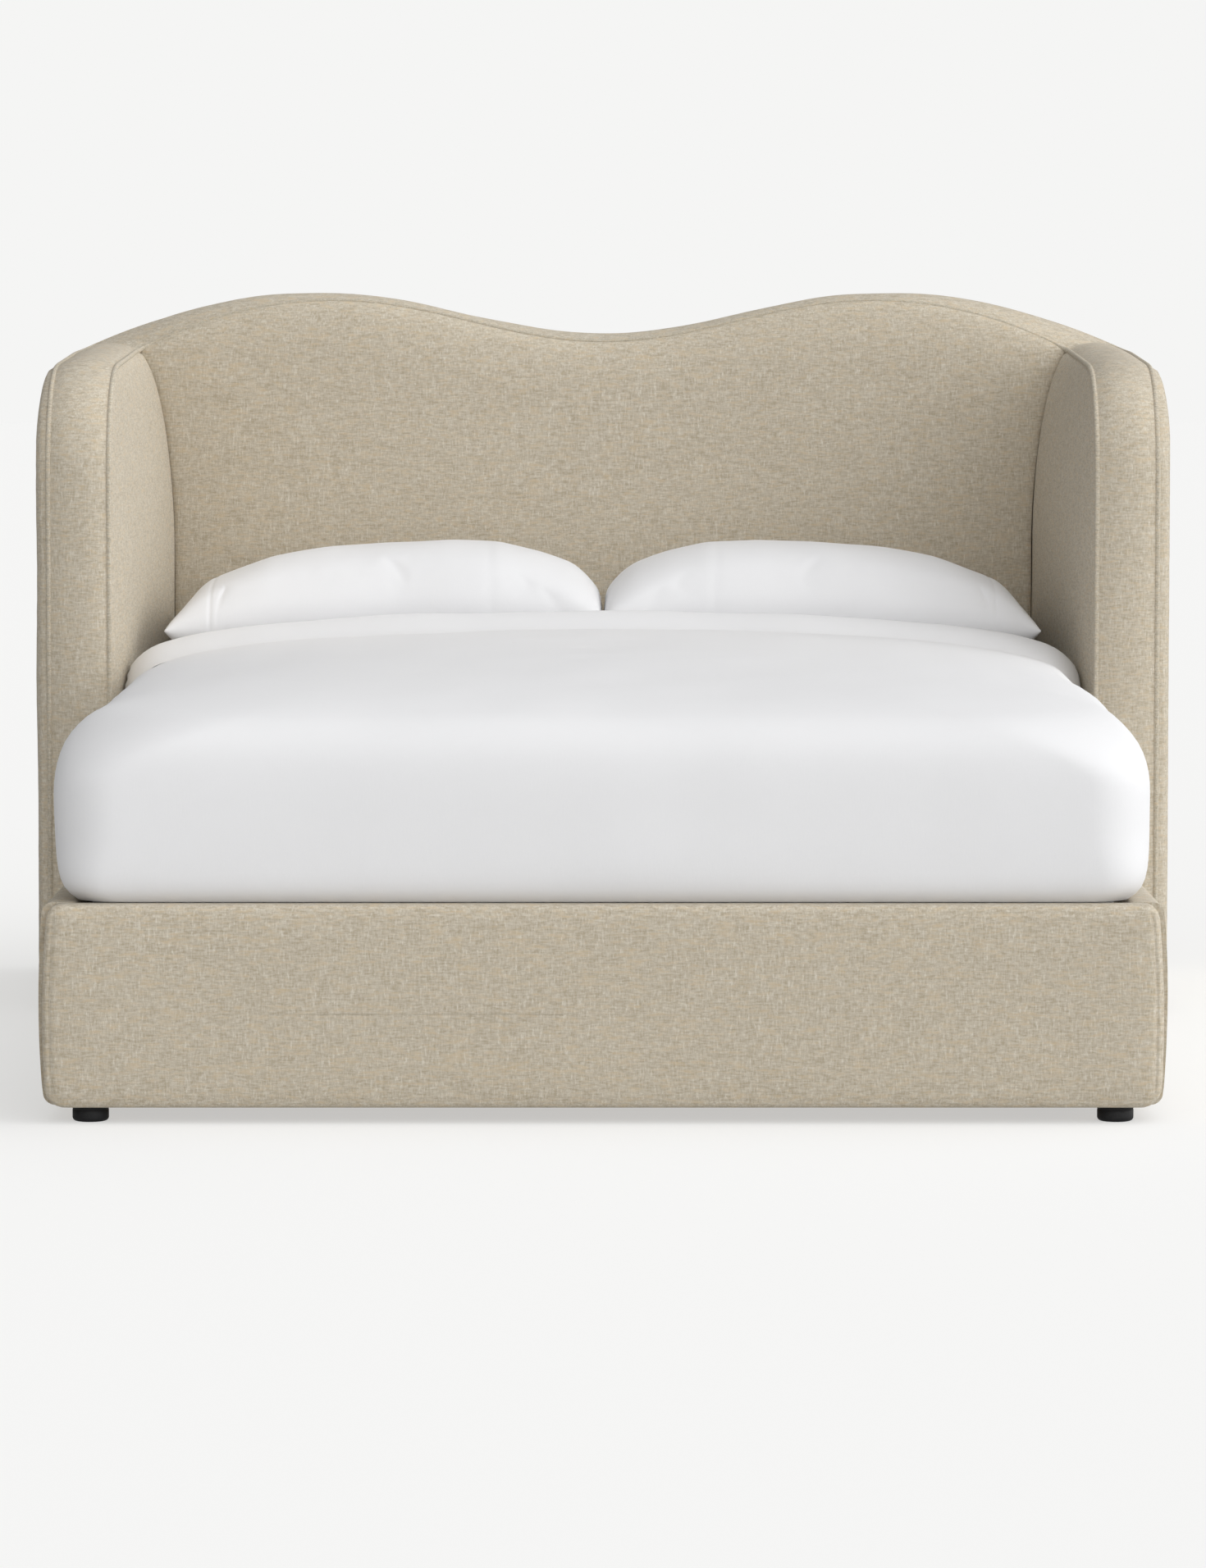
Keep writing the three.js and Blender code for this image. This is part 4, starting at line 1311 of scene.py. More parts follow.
@dataclass
class Footboard(Upholstery):
    """The low padded footboard, with a plain seam down each end of its front.

    Attributes:
        edge: how far its front edges roll back.
        crown: how far its front swells.
        swell: distance from the edges over which it swells.
        top_radius: radius of its upper corners.
        foot_radius: radius of its lower corners.
        seam_inset: distance of the seams in from its ends.
        seam_depth: depth of the seams.
        lap: how far the cover stands behind the board that it laps over.
        margin: distance of its widest part in from the ends of its packed box.
        widest: height of its widest part, as a share of its whole height.
        top_waist: how far each end draws in at the top.
        foot_waist: how far each end draws in at the foot.
    """

    edge: float = 14 * MM
    crown: float = 6 * MM
    swell: float = 90 * MM
    top_radius: float = 20 * MM
    foot_radius: float = 30 * MM
    seam_inset: float = 11 * MM
    seam_depth: float = 1.8 * MM
    lap: float = 1.2 * MM
    margin: float = 3 * MM
    widest: float = 0.42
    top_waist: float = 9 * MM
    foot_waist: float = 4 * MM

    def build(self) -> list[Piece]:
        """Makes the footboard and dresses it."""
        return [self.finish(self.body(), "footboard_cover", "footboard_foam", fill=0.9)]

    def insets(self) -> tuple[np.ndarray, np.ndarray]:
        """How the outline shrinks and comes forward, from the footboard's rear to the middle of its front.

        Returns:
            The inset of each ring, and its distance in front of the rear face.
        """
        low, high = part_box("footboard_cover")
        thickness = high.y - low.y
        slope = 2.0 * self.crown / self.swell
        angles = np.linspace(0.0, math.pi / 2.0 - slope, 15)
        round_inset = self.edge * (1.0 - np.cos(angles))
        round_forward = thickness - self.crown - self.edge * (np.sin(angles[-1]) - np.sin(angles))
        face = spaced((round_inset[-1], 40 * MM, 140 * MM), (8, 9))[1:]
        face_forward = thickness - self.crown + self.crown * roll((face - round_inset[-1]) / self.swell, 2.0)
        inset = np.concatenate([[self.edge / 3.0, 0.0, 0.0], round_inset, face])
        forward = np.concatenate([[-self.lap, self.edge / 3.0, thickness / 2.0], round_forward, face_forward])
        return inset, forward

    def body(self) -> Piece:
        """The whole footboard.

        Returns:
            The new piece.
        """
        low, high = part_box("footboard_cover")
        rings = []
        for inset, forward in zip(*self.insets()):
            half = high.x - self.margin - inset
            radii = (max(self.foot_radius - inset, 5 * MM), max(self.top_radius - inset, 4 * MM))
            ring = rounded_ring(half, low.z + inset, high.z - inset, radii, 420)
            rise = (ring[:, 1] - low.z) / (high.z - low.z)
            above = np.maximum(rise - self.widest, 0.0) / (1.0 - self.widest)
            below = np.maximum(self.widest - rise, 0.0) / self.widest
            waist = self.top_waist * above ** 2 + self.foot_waist * below ** 2
            x = ring[:, 0] - np.sign(ring[:, 0]) * waist * (np.abs(ring[:, 0]) / half) ** 8
            y = np.full(len(ring), high.y - forward)
            if forward > self.edge:
                seam = high.x - self.margin - self.seam_inset
                y = y + self.seam_depth * bell(np.abs(x) + waist - seam, 2.2 * MM)
            points = np.stack([x, y, ring[:, 1]], axis=1)
            if forward > self.edge:
                points[:, 1] += Undulation(0.7 * MM, 0.3, 71).at(points) * min(inset / self.edge, 1.0)
                gather = Puckers(0.2 * MM, 30 * MM, 30 * MM, 72)
                points[:, 1] += gather.at(points[:, 0], high.z - points[:, 2])
            rings.append(points)
        return lathe("footboard_pad", np.array(rings))


# ---------------------------------------------------------------- frame, feet and mattress


@dataclass
class Timberwork:
    """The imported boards, rails, slats, blocks and brackets, which keep their shapes.

    Attributes:
        nodes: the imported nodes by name.
        wardrobe: the materials.
    """

    nodes: dict[str, Piece]
    wardrobe: Wardrobe

    def build(self) -> list[Piece]:
        """Paints each piece in the wood or metal that it is made of."""
        painted = []
        for name, node in self.nodes.items():
            material = self.material_for(name)
            if material is not None:
                self.wardrobe.repaint(node, material)
                painted.append(node)
        return painted

    def material_for(self, name: str) -> bpy.types.Material | None:
        """The material of a node, or None if another piece stands for it."""
        wood = self.wardrobe.timber
        if name.startswith("slat_"):
            return wood(Slot.SOFTWOOD, Grain.ACROSS)
        if name in ("headboard_top_rail", "headboard_bottom_rail"):
            return wood(Slot.SOFTWOOD, Grain.ACROSS)
        if name in ("headboard_panel", "footboard_board"):
            return wood(Slot.PLYWOOD, Grain.ACROSS)
        if name == "headboard_back_panel":
            return wood(Slot.HARDBOARD, Grain.ACROSS)
        if name.endswith(("_post", "_corner_block")) or name.startswith("centre_leg"):
            return wood(Slot.SOFTWOOD, Grain.UP)
        if name.endswith("_ledger") or name == "centre_beam":
            return wood(Slot.SOFTWOOD, Grain.ALONG)
        if name.endswith(("_rail_board", "_wing_frame")):
            return wood(Slot.PLYWOOD, Grain.ALONG)
        if name.endswith("_bracket"):
            return self.wardrobe.materials[Slot.STEEL]
        return None


@dataclass
class Feet:
    """The short round feet.

    Attributes:
        wardrobe: the materials.
        chamfer: radius of the round at a foot's sole.
    """

    wardrobe: Wardrobe
    chamfer: float = 6 * MM

    def build(self) -> list[Piece]:
        """Makes a turned foot in place of each packed one."""
        places = [f"{side.word}_{spot}_foot" for side in Side for spot in ("front", "wing", "rear")]
        return [self.foot(name) for name in places]

    def foot(self, name: str) -> Piece:
        """One foot: a moulded puck, rounded at its sole.

        Args:
            name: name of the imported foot.

        Returns:
            The new piece.
        """
        low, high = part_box(name)
        centre = (low + high) / 2.0
        radius = (high.x - low.x) / 2.0
        angles = np.radians(np.linspace(-90.0, 0.0, 9))
        sole = [
            (radius - self.chamfer * (1.0 - math.cos(angle)), self.chamfer * (1.0 + math.sin(angle)))
            for angle in angles
        ]
        groove = high.z - 6 * MM
        sides = [(radius, groove - 1 * MM), (radius - 0.7 * MM, groove), (radius, groove + 1 * MM)]
        rim = [(radius, high.z - 0.4 * MM), (radius - 0.6 * MM, high.z)]
        profile = [(radius - 2.2 * self.chamfer, 0.0), *sole, *sides, *rim]
        turn = np.linspace(0.0, 2.0 * math.pi, 56, endpoint=False)
        ring = np.stack([np.cos(turn), np.sin(turn)], axis=1)
        rings = [
            np.column_stack([centre.x + r * ring[:, 0], centre.y + r * ring[:, 1], np.full(len(ring), z)])
            for r, z in profile
        ]
        piece = lathe(f"{name}_puck", np.array(rings), crease=50.0)
        self.wardrobe.dress(piece, Slot.FOOT)
        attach(piece, "frame")
        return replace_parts(piece, name)


@dataclass
class Mattress:
    """The mattress, quilted on top, with taped edges.

    Attributes:
        wardrobe: the materials.
        corner: radius of its corners in plan.
        edge: radius of its upper and lower edges.
        tape: radius of the tape sewn along those edges.
        quilt: depth of the quilting.
        diamond: distance between lines of quilting.
    """

    wardrobe: Wardrobe
    corner: float = 70 * MM
    edge: float = 26 * MM
    tape: float = 5 * MM
    quilt: float = 5 * MM
    diamond: float = 165 * MM

    def build(self) -> list[Piece]:
        """Makes the mattress and its two taped edges and dresses them."""
        body = self.body()
        pieces = [body] + [self.taped_edge(name) for name in ("top", "bottom")]
        for piece in pieces:
            self.wardrobe.dress(piece, Slot.TICKING)
            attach(piece, "mattress")
        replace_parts(body, "mattress")
        return pieces

    def ring(self, inset: float, z: float, count: int = 360) -> np.ndarray:
        """A level ring round the mattress, inset evenly."""
        low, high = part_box("mattress")
        radius = max(self.corner - inset, 8 * MM)
        flat = rounded_ring(high.x - inset, low.y + inset, high.y - inset, (radius, radius), count)
        return np.column_stack([flat, np.full(count, z)])

    def body(self) -> Piece:
        """The mattress itself, with its sides pulled in a little at the middle seam.

        Returns:
            The new piece.
        """
        low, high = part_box("mattress")
        height = high.z - low.z
        angles = np.linspace(0.0, math.pi / 2.0, 8)
        lower = [(self.edge * (1.0 - math.sin(a)), low.z + self.edge * (1.0 - math.cos(a))) for a in angles]
        side = [(2.5 * MM * math.sin(math.pi * t) ** 0.5, low.z + self.edge + t * (height - 2 * self.edge))
                for t in np.linspace(0.0, 1.0, 16)[1:-1]]
        upper = [(inset, low.z + high.z - z) for inset, z in reversed(lower)]
        inner = high.x - 5 * MM
        under = [(inset, low.z) for inset in np.linspace(inner - 20 * MM, self.edge, 5, endpoint=False)]
        over = [(inset, high.z) for inset in np.arange(self.edge, inner, 11 * MM)[1:]]
        rings = []
        for inset, z in [*under, *lower, *side, *upper, *over]:
            ring = self.ring(inset, z)
            if inset > self.edge and z > high.z - 1 * MM:
                ring[:, 2] -= self.quilting(ring) * ease((inset - self.edge) / (60 * MM))
            rings.append(ring)
        return lathe("mattress_body", np.array(rings))

    def quilting(self, points: np.ndarray) -> np.ndarray:
        """How far the quilted top is sewn down at each point."""
        turns = math.pi / self.diamond
        lines = [np.abs(np.sin((points[:, 0] + sign * points[:, 1]) * turns)) for sign in (1, -1)]
        return self.quilt * (1.0 - np.minimum(roll(lines[0] / 0.6), roll(lines[1] / 0.6)))

    def taped_edge(self, name: str) -> Piece:
        """The tape sewn round the top or bottom edge.

        Args:
            name: which edge, top or bottom.

        Returns:
            The new piece.
        """
        low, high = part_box("mattress")
        inset = self.edge * (1.0 - math.sqrt(0.5)) + 1.5 * MM
        z = high.z - inset if name == "top" else low.z + inset
        path = self.ring(inset, z, 520)
        angles = np.linspace(0.0, 2.0 * math.pi, 10, endpoint=False)
        along = np.roll(path, -1, axis=0) - np.roll(path, 1, axis=0)
        along /= np.linalg.norm(along, axis=1)[:, None]
        out = np.cross(along, np.array([0.0, 0.0, 1.0]))
        rings = [
            point + self.tape * (np.cos(angles)[:, None] * side + np.sin(angles)[:, None] * UP)
            for point, side in zip(path, out)
        ]
        return lathe(f"mattress_{name}_tape", np.array(rings), closed=True, crease=60.0)


# ---------------------------------------------------------------- bedding


@dataclass
class Duvet:
    """The duvet, tucked down over the mattress, with its head end turned back.

    Attributes:
        wardrobe: the materials.
        shape: the shell's outline, which the duvet keeps clear of.
        section: points of half its width and its height, from its hem to its middle.
        ridge: distance of the end of its level top from the front.
        turn_back: length of the turned-back end.
        fold: thickness of the turned-back end.
    """

    wardrobe: Wardrobe
    shape: ShellShape
    section: tuple[tuple[float, float], ...] = (
        (0.780, 0.3265), (0.797, 0.333), (0.806, 0.356), (0.811, 0.410), (0.812, 0.500),
        (0.804, 0.556), (0.770, 0.596), (0.694, 0.617), (0.597, 0.631), (0.470, 0.642),
        (0.300, 0.650), (0.150, 0.654), (0.0, 0.655),
    )
    ridge: float = 0.85
    turn_back: float = 150 * MM
    fold: float = 33 * MM

    def build(self) -> list[Piece]:
        """Makes the duvet and its turned-back end and dresses them."""
        body = self.body()
        turned = self.turned_end()
        for piece, fill in ((body, 0.7), (turned, 0.6)):
            self.wardrobe.dress(piece, Slot.COTTON)
            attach(piece, "duvet")
        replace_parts(body, "duvet")
        return [body, turned]

    def profile(self, count: int) -> np.ndarray:
        """The section from hem to middle, smoothed and evenly spaced."""
        corners = np.array(self.section)
        lengths = np.concatenate([[0.0], np.cumsum(np.linalg.norm(np.diff(corners, axis=0), axis=1))])
        fine = np.linspace(0.0, lengths[-1], 241)
        path = softened(np.stack([np.interp(fine, lengths, corners[:, k]) for k in range(2)], axis=1), 34)
        marks = np.linspace(0.0, 240.0, count)
        return np.stack([np.interp(marks, np.arange(241), path[:, k]) for k in range(2)], axis=1)

    def horseshoe(self, half: float, front: float, radius: float, count: int) -> np.ndarray:
        """Points from the head end down one side, across the front and back up the other side.

        Args:
            half: half the width.
            front: distance of the front in from the duvet's own front.
            radius: radius of the front corners.
            count: number of points on each half, besides the one in the middle.

        Returns:
            Rows of x and y.
        """
        low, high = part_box("duvet")
        radius = min(radius, half)
        y_front = low.y + front
        shares = np.linspace(0.0, 1.0, 60)
        side = np.stack([np.full(60, half), blend(high.y, y_front + radius, shares)], axis=1)
        turn = np.linspace(0.0, math.pi / 2.0, 30)[1:]
        bend_x = half - radius * (1.0 - np.cos(turn))
        bend = np.stack([bend_x, y_front + radius * (1.0 - np.sin(turn))], axis=1)
        across = np.stack([blend(half - radius, 0.0, shares[1:]), np.full(59, y_front)], axis=1)
        path = np.concatenate([side, bend, across])
        marks = np.concatenate([
            np.linspace(0.0, 59.0, count // 2, endpoint=False),
            np.linspace(59.0, 88.0, count // 6, endpoint=False),
            np.linspace(88.0, 147.0, count - count // 2 - count // 6 + 1),
        ])
        right = np.stack([np.interp(marks, np.arange(148), path[:, k]) for k in range(2)], axis=1)
        left = right[-2::-1] * np.array([-1.0, 1.0])
        return np.concatenate([right, left])

    def body(self) -> Piece:
        """The duvet itself: an outer sheet over an inner one that clears the mattress.

        Returns:
            The new piece.
        """
        low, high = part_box("duvet")
        bed_low, bed_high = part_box("mattress")
        profile = self.profile(76)
        widest = profile[:, 0].max()
        clear = 3 * MM
        outer, inner = [], []
        for half, z in profile:
            inset = widest - half
            above = ease((z - 0.5) / 0.12)
            front = blend(inset * 0.7, inset * self.ridge / widest, above)
            radius = blend(blend(62 * MM, 92 * MM, ease((z - low.z) / 0.1)), 0.24, above)
            flat = self.horseshoe(half, float(front), float(radius), 96)
            outer.append(np.column_stack([flat, np.full(len(flat), z)]))
            level = np.minimum(z, bed_high.z + clear)
            corner = ease((z - bed_high.z + 30 * MM) / (30 * MM)) * 24 * MM
            within = min(half, bed_high.x + clear - corner)
            flush = max(float(front), bed_low.y - clear - low.y + corner)
            near = self.horseshoe(within, flush, 72 * MM if z < bed_high.z else float(radius), 96)
            inner.append(np.column_stack([near, np.full(len(near), level)]))
        face, lining = np.array(outer), np.array(inner)
        uneven = Undulation(2.6 * MM, 0.55, 81).at(face) + Undulation(0.7 * MM, 0.14, 82).at(face)
        middle = np.array([0.0, (low.y + high.y) / 2.0, 0.35])
        away = face - middle
        away[..., 1] *= 0.5
        away /= np.linalg.norm(away, axis=-1, keepdims=True)
        face = face + away * (uneven * ease((face[..., 2] - low.z) / 0.06))[..., None]
        rolled = 0.3 + 0.7 * roll((high.y - face[..., 1]) / (60 * MM), 2.0)
        turned = (face[..., 1] > high.y - 60 * MM)[..., None]
        face = np.where(turned, blend(lining, face, rolled[..., None]), face)
        return self.joined("duvet_body", self.between_wings(face), lining)

    def between_wings(self, points: np.ndarray) -> np.ndarray:
        """Presses the duvet in where it would reach the wing pads."""
        room = self.shape.inner_half - self.shape.wing_bulge(points[..., 1], points[..., 2]) - 5 * MM
        points[..., 0] = np.clip(points[..., 0], -room, room)
        return points

    def joined(self, name: str, face: np.ndarray, lining: np.ndarray) -> Piece:
        """Closes two sheets of horseshoes along their hem and head end, and along the middle of their tops.

        Args:
            name: name of the piece.
            face: outer points, as levels by points by 3.
            lining: inner points, the same size.

        Returns:
            The new piece.
        """
        levels, count = face.shape[:2]
        total = levels * count
        walls = [(i + 1, i, i + total, i + 1 + total) for i in range(count - 1)]
        for level in range(levels - 1):
            a, b = level * count, (level + 1) * count
            walls.append((a, b, b + total, a + total))
            walls.append((b + count - 1, a + count - 1, a + count - 1 + total, b + count - 1 + total))
        points = np.concatenate([face.reshape(-1, 3), lining.reshape(-1, 3)])
        piece = new_piece(name, points, sheet_faces(levels, count) + walls, 60.0)
        weld(piece, 0.05 * MM, clean=True)
        piece.data.shade_smooth()
        return piece

    def turned_end(self) -> Piece:
        """The head end, folded back on itself over the whole width.

        Returns:
            The new piece.
        """
        _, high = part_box("duvet")
        half = self.profile(90)
        path = np.concatenate([half, half[-2::-1] * np.array([-1.0, 1.0])])
        along = np.gradient(path, axis=0)
        along /= np.linalg.norm(along, axis=1)[:, None]
        out = np.stack([along[:, 1], -along[:, 0]], axis=1)
        out *= np.sign(np.sum(out * (path - np.array([0.0, 0.2])), axis=1))[:, None]
        t = np.linspace(0.0, 2.0 * math.pi, 44, endpoint=False)
        across = np.sign(np.cos(t)) * np.abs(np.cos(t)) ** 0.7
        thick = np.sign(np.sin(t)) * np.abs(np.sin(t)) ** 0.85
        rear = (1.0 + across) / 2.0
        y = high.y - 2 * MM - self.turn_back * (1.0 - rear)
        half_thickness = self.fold / 2.0 * blend(0.05, 1.0, ease(rear / 0.85))
        droop = 26 * MM * (1.0 - roll((1.0 - rear) * self.turn_back / (34 * MM), 2.0))
        lift = half_thickness * (1.0 + thick) - 2.5 * MM - droop
        rings = []
        for point, direction in zip(path, out):
            ring = np.stack([
                point[0] + direction[0] * lift,
                y + 0.0 * lift,
                point[1] + direction[1] * lift,
            ], axis=1)
            ring[:, 1] += Undulation(1.8 * MM, 0.3, 83).at(ring) * (1.0 - rear)
            ring[:, 0] += direction[0] * Undulation(1.1 * MM, 0.2, 84).at(ring)
            ring[:, 2] += direction[1] * Undulation(1.1 * MM, 0.2, 84).at(ring)
            rings.append(self.between_wings(ring))
        return lathe("duvet_turned_end", np.array(rings), crease=70.0)


@dataclass
class Pillow:
    """One pillow in its case, blown up as cloth and lying on the mattress.

    Attributes:
        wardrobe: the materials.
        side: the side of the bed it lies on.
        slack: share of its full thickness that it starts with before it is blown up.
        crown: points of its thickness along its length, from its inner end at -1 to its outer end at 1.
        hem: distance of the case's hem seam from the outer end.
        settle: how far its underside is pressed flat.
        press: how far its inner end is pressed flat against the other pillow.
    """

    wardrobe: Wardrobe
    side: Side
    slack: float = 0.93
    crown: tuple[tuple[float, float], ...] = (
        (-1.0, 0.0), (-0.985, 0.36), (-0.93, 0.54), (-0.84, 0.70), (-0.69, 0.85), (-0.50, 0.97), (-0.27, 1.0),
        (0.0, 0.98), (0.27, 0.92), (0.54, 0.81), (0.83, 0.52), (0.93, 0.30), (1.0, 0.0),
    )
    hem: float = 78 * MM
    settle: float = 14 * MM
    press: float = 11 * MM

    def build(self) -> list[Piece]:
        """Makes the pillow and dresses it."""
        piece = self.body()
        self.wardrobe.dress(piece, Slot.COTTON)
        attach(piece, f"{self.side.word}_pillow")
        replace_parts(piece, f"{self.side.word}_pillow")
        return [piece]

    def sheets(self) -> tuple[np.ndarray, np.ndarray]:
        """The upper and lower sheets before they are blown up.

        Returns:
            Two grids of points; a runs from the inner end to the outer end, and b from front to rear.
        """
        low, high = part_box(f"{Side.RIGHT.word}_pillow")
        size = high - low
        a = spaced((-1.0, 0.72, 0.88, 1.0), (74, 22, 12))[:, None]
        b = spaced((-1.0, 1.0), (60,))[None, :]
        stops, heights = np.array(self.crown).T
        fine = np.linspace(-1.0, 1.0, 201)
        squares = np.interp(fine, stops, heights**2)
        squares = softened(squares[:, None], 5)[:, 0]
        along = np.sqrt(np.maximum(np.interp(a, fine, squares), 0.0))
        dome = along * np.maximum(1.0 - np.abs(b) ** 2.6, 0.0) ** 0.5
        x = a * size.x / 2.0 * (1.0 - 0.03 * (1.0 - b**2) * (a > 0.0))
        y = b * size.y / 2.0 * (1.0 - 0.07 * (1.0 - a**2))
        sheets = []
        for sign in (1.0, -1.0):
            z = sign * self.slack * dome * size.z / 2.0 - 3 * MM * ease((a - 0.4) / 0.6)
            sheets.append(np.stack([x, y, z], axis=-1))
        return sheets[0], sheets[1]

    def body(self) -> Piece:
        """The pillow, from blown-up cloth to its place on the bed.

        Returns:
            The new piece.
        """
        upper, lower = self.sheets()
        columns, rows = upper.shape[:2]
        points = np.concatenate([upper.reshape(-1, 3), lower.reshape(-1, 3)])
        piece = new_piece(f"{self.side.word}_pillow_cushion", points, sheet_faces(columns, rows), 180.0)
        weld(piece, 0.01 * MM)
        blow_up(piece, pressure=3.0, frames=20, cap=7 * MM)
        self.lay_down(piece)
        smooth_finely(piece)
        return piece

    def lay_down(self, piece: Piece) -> None:
        """Fits the pillow to its packed size, sews its hem in, presses its underside and puts it in place."""
        low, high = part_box(f"{self.side.word}_pillow")
        place = coordinates(piece)
        normal = np.array([v.normal for v in piece.data.vertices])
        spans = place.max(axis=0) - place.min(axis=0)
        share = (place - place.min(axis=0)) / spans
        outward = 2.0 * share[:, 0] - 1.0
        hem = 1.0 - 2.0 * self.hem / (high.x - low.x)
        groove = 1.1 * MM * bell(outward - hem, 0.008)
        along = bell(outward + 0.48 - 0.05 * share[:, 1], 0.016)
        crease = 1.4 * MM * along * ease((0.62 - share[:, 1]) / 0.3)
        soft = Undulation(1.6 * MM, 0.2, 91 + self.side.value).at(place)
        start = np.array([low.x - self.press, low.y, low.z - self.settle])
        place = start + share * (np.array(high) - start)
        if self.side is Side.LEFT:
            place[:, 0] = low.x + high.x - place[:, 0]
            normal[:, 0] *= -1.0
        place += normal * (soft - (groove + crease) * (share[:, 2] > 0.42))[:, None]
        bend = 8 * MM
        floor = low.z + 1 * MM
        below = np.minimum(place[:, 2] - floor - bend, 0.0)
        place[:, 2] = np.where(below < 0.0, floor + bend * np.exp(below / bend), place[:, 2])
        sign = self.side.value
        place[:, 0] = sign * np.maximum(sign * place[:, 0], 0.5 * MM)
        write_coordinates(piece, place)
        if self.side is Side.LEFT:
            piece.data.flip_normals()


def weld(piece: Piece, distance: float, clean: bool = False) -> None:
    """Joins the points of a piece that lie together.

    Args:
        piece: the piece.
        distance: how close they lie.
        clean: whether slivers are dissolved as well, and the faces turned outwards again.
    """
    mesh = bmesh.new()
    mesh.from_mesh(piece.data)
    bmesh.ops.remove_doubles(mesh, verts=mesh.verts, dist=distance)
    if clean:
        bmesh.ops.dissolve_degenerate(mesh, edges=mesh.edges, dist=distance)
        bmesh.ops.recalc_face_normals(mesh, faces=mesh.faces)
    mesh.to_mesh(piece.data)
    mesh.free()


def coordinates(piece: Piece) -> np.ndarray:
    """The points of a piece's mesh, one row for each."""
    flat = np.zeros(len(piece.data.vertices) * 3)
    piece.data.vertices.foreach_get("co", flat)
    return flat.reshape(-1, 3)


def write_coordinates(piece: Piece, points: np.ndarray) -> None:
    """Moves the points of a piece's mesh."""
    piece.data.vertices.foreach_set("co", points.ravel())
    piece.data.update()


def blow_up(piece: Piece, pressure: float, frames: int, cap: float) -> None:
    """Inflates a closed piece as cloth, and keeps the result in its mesh.

    Args:
        piece: the piece.
        pressure: pressure of the filling.
        frames: number of frames that the cloth has to swell.
        cap: the furthest that a point may move.
    """
    rest = coordinates(piece)
    cloth = piece.modifiers.new("swelling", "CLOTH")
    settings = cloth.settings
    settings.quality = 6
    settings.mass = 0.25
    settings.tension_stiffness = 22.0
    settings.compression_stiffness = 10.0
    settings.shear_stiffness = 6.0
    settings.bending_stiffness = 0.25
    settings.use_pressure = True
    settings.uniform_pressure_force = pressure
    settings.effector_weights.gravity = 0.0
    scene = bpy.context.scene
    cloth.point_cache.frame_start = 1
    cloth.point_cache.frame_end = frames
    for frame in range(1, frames + 1):
        scene.frame_set(frame)
    settled = piece.evaluated_get(bpy.context.evaluated_depsgraph_get())
    moved = np.array([v.co for v in settled.data.vertices]) - rest
    piece.modifiers.remove(cloth)
    scene.frame_set(1)
    distance = np.linalg.norm(moved, axis=1)[:, None]
    moved *= np.minimum(1.0, cap / np.maximum(distance, 1e-9))
    write_coordinates(piece, rest + moved)


def smooth_finely(piece: Piece) -> None:
    """Subdivides a piece once and keeps the result in its mesh."""
    finer = piece.modifiers.new("finer", "SUBSURF")
    finer.levels = 1
    finer.render_levels = 1
    settled = piece.evaluated_get(bpy.context.evaluated_depsgraph_get())
    mesh = bpy.data.meshes.new_from_object(settled)
    piece.modifiers.remove(finer)
    old = piece.data
    piece.data = mesh
    bpy.data.meshes.remove(old)
    piece.data.shade_smooth()


# ---------------------------------------------------------------- studio


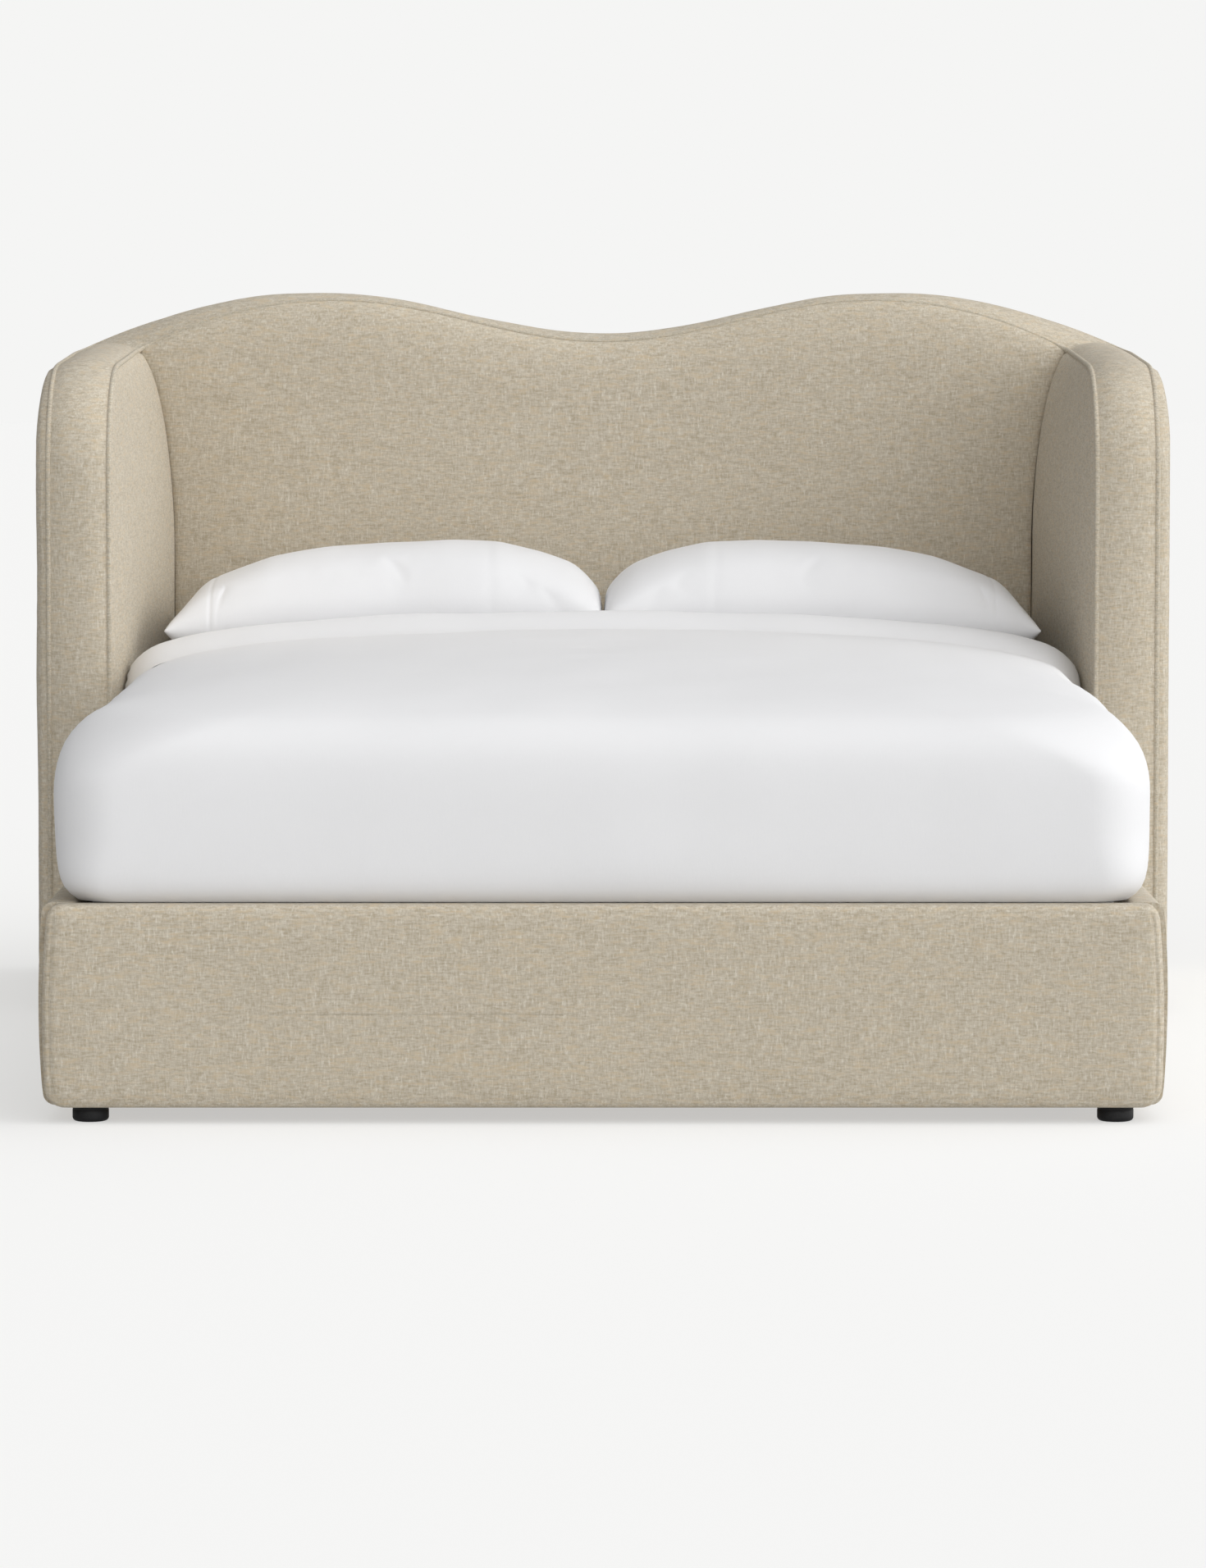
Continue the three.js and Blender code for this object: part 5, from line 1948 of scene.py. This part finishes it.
@dataclass
class Studio:
    """Camera, lights and floor.

    Attributes:
        distance: distance of the camera in front of the footboard.
        eye: height of the camera.
        pitch: how far the camera looks down, in degrees.
        lens: focal length in millimetres.
        ambient: strength of the light from all round.
        lean: direction that this light is strongest from, and how much stronger it is there.
        floor_glow: light that the camera sees the floor give off, to meet the backdrop.
        floor_bounce: light that the floor adds to the bed from below.
    """

    distance: float = 9.0
    eye: float = 1.185
    pitch: float = 4.325
    lens: float = 141.3
    ambient: float = 0.93
    lean: tuple[float, float, float] = (0.92, -0.5, -0.18)
    floor_glow: float = 0.505
    floor_bounce: float = 0.2

    def build(self) -> list[Piece]:
        """Sets up the studio."""
        self.camera()
        self.world()
        key = self.sun("key_light", azimuth=76.0, elevation=30.0, strength=0.6, angle=50.0)
        return [self.floor(), key]

    def camera(self) -> None:
        """Puts the camera in front of the bed, looking a little down."""
        data = bpy.data.cameras.new("camera")
        data.lens = self.lens
        data.sensor_width = 36.0
        data.clip_end = 200.0
        data.dof.use_dof = False
        camera = bpy.data.objects.new("camera", data)
        low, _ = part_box("footboard_cover")
        camera.location = (0.0, low.y - self.distance, self.eye)
        camera.rotation_euler = (math.radians(90.0 - self.pitch), 0.0, 0.0)
        bpy.context.scene.collection.objects.link(camera)
        bpy.context.scene.camera = camera

    def world(self) -> None:
        """A light from all round, stronger from one way, which the camera sees as a pale backdrop."""
        world = bpy.data.worlds.new("studio")
        bpy.context.scene.world = world
        world.use_nodes = True
        wiring = Wiring(world.node_tree)
        out = world.node_tree.nodes["World Output"]
        light = world.node_tree.nodes["Background"]
        light.inputs["Color"].default_value = (1.0, 1.0, 1.0, 1.0)
        towards = wiring.node("ShaderNodeVectorMath", operation="DOT_PRODUCT")
        wiring.put(towards.inputs[0], wiring.node("ShaderNodeTexCoord").outputs["Generated"])
        towards.inputs[1].default_value = self.lean
        share = wiring.math("MAXIMUM", wiring.plus(1.0, towards.outputs["Value"]), 0.05)
        wiring.put(light.inputs["Strength"], wiring.times(share, self.ambient))
        backdrop = wiring.node("ShaderNodeBackground")
        backdrop.inputs["Color"].default_value = (0.913, 0.913, 0.905, 1.0)
        choice = wiring.node("ShaderNodeMixShader")
        wiring.put(choice.inputs[0], wiring.node("ShaderNodeLightPath").outputs["Is Camera Ray"])
        wiring.put(choice.inputs[1], light.outputs[0])
        wiring.put(choice.inputs[2], backdrop.outputs[0])
        wiring.put(out.inputs["Surface"], choice.outputs[0])
        scene = bpy.context.scene
        scene.view_settings.view_transform = "Standard"

    def sun(self, name: str, azimuth: float, elevation: float, strength: float, angle: float) -> Piece:
        """A broad soft light from far away.

        Args:
            name: name of the light.
            azimuth: degrees round from the front towards +X.
            elevation: degrees above the floor.
            strength: its strength.
            angle: its breadth in degrees.

        Returns:
            The light.
        """
        data = bpy.data.lights.new(name, "SUN")
        data.energy = strength
        data.angle = math.radians(angle)
        light = bpy.data.objects.new(name, data)
        turn, rise = math.radians(azimuth), math.radians(elevation)
        source = Vector((math.sin(turn) * math.cos(rise), -math.cos(turn) * math.cos(rise), math.sin(rise)))
        light.rotation_euler = source.to_track_quat("Z", "Y").to_euler()
        bpy.context.scene.collection.objects.link(light)
        return light

    def floor(self) -> Piece:
        """A wide pale floor that glows a little, so that it meets the backdrop.

        Returns:
            The floor.
        """
        half = 60.0
        mesh = bpy.data.meshes.new("floor")
        corners = [(-half, -half, 0), (half, -half, 0), (half, half, 0), (-half, half, 0)]
        mesh.from_pydata(corners, [], [(0, 1, 2, 3)])
        floor = bpy.data.objects.new("floor", mesh)
        bpy.context.scene.collection.objects.link(floor)
        material, wiring, surface = start_material("studio_floor", 1.0)
        surface.inputs["Base Color"].default_value = (0.45, 0.45, 0.447, 1.0)
        surface.inputs["Specular IOR Level"].default_value = 0.0
        surface.inputs["Emission Color"].default_value = (1.0, 1.0, 0.99, 1.0)
        seen = wiring.node("ShaderNodeLightPath").outputs["Is Camera Ray"]
        extra = wiring.times(seen, self.floor_glow - self.floor_bounce)
        wiring.put(surface.inputs["Emission Strength"], wiring.plus(extra, self.floor_bounce))
        mesh.materials.append(material)
        return floor


# ---------------------------------------------------------------- the bed


def main() -> None:
    """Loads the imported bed, builds and dresses every piece, and sets up the studio."""
    logging.basicConfig(level=logging.INFO, format="%(message)s")
    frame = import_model()
    Studio().build()
    wardrobe = Wardrobe(Effects.build())
    shape = ShellShape.measured()
    parts = [
        Timberwork(frame["nodes"], wardrobe),
        Headboard(shape, wardrobe),
        *(Wing(shape, wardrobe, side=side) for side in Side),
        BorderTrim(shape, wardrobe),
        *(SideRail(shape, wardrobe, side=side) for side in Side),
        Footboard(shape, wardrobe),
        Feet(wardrobe),
        Mattress(wardrobe),
        Duvet(wardrobe, shape),
        *(Pillow(wardrobe, side) for side in Side),
    ]
    for part in parts:
        for piece in part.build():
            log.info("%s: %s", type(part).__name__, piece.name)


if __name__ == "__main__":
    main()
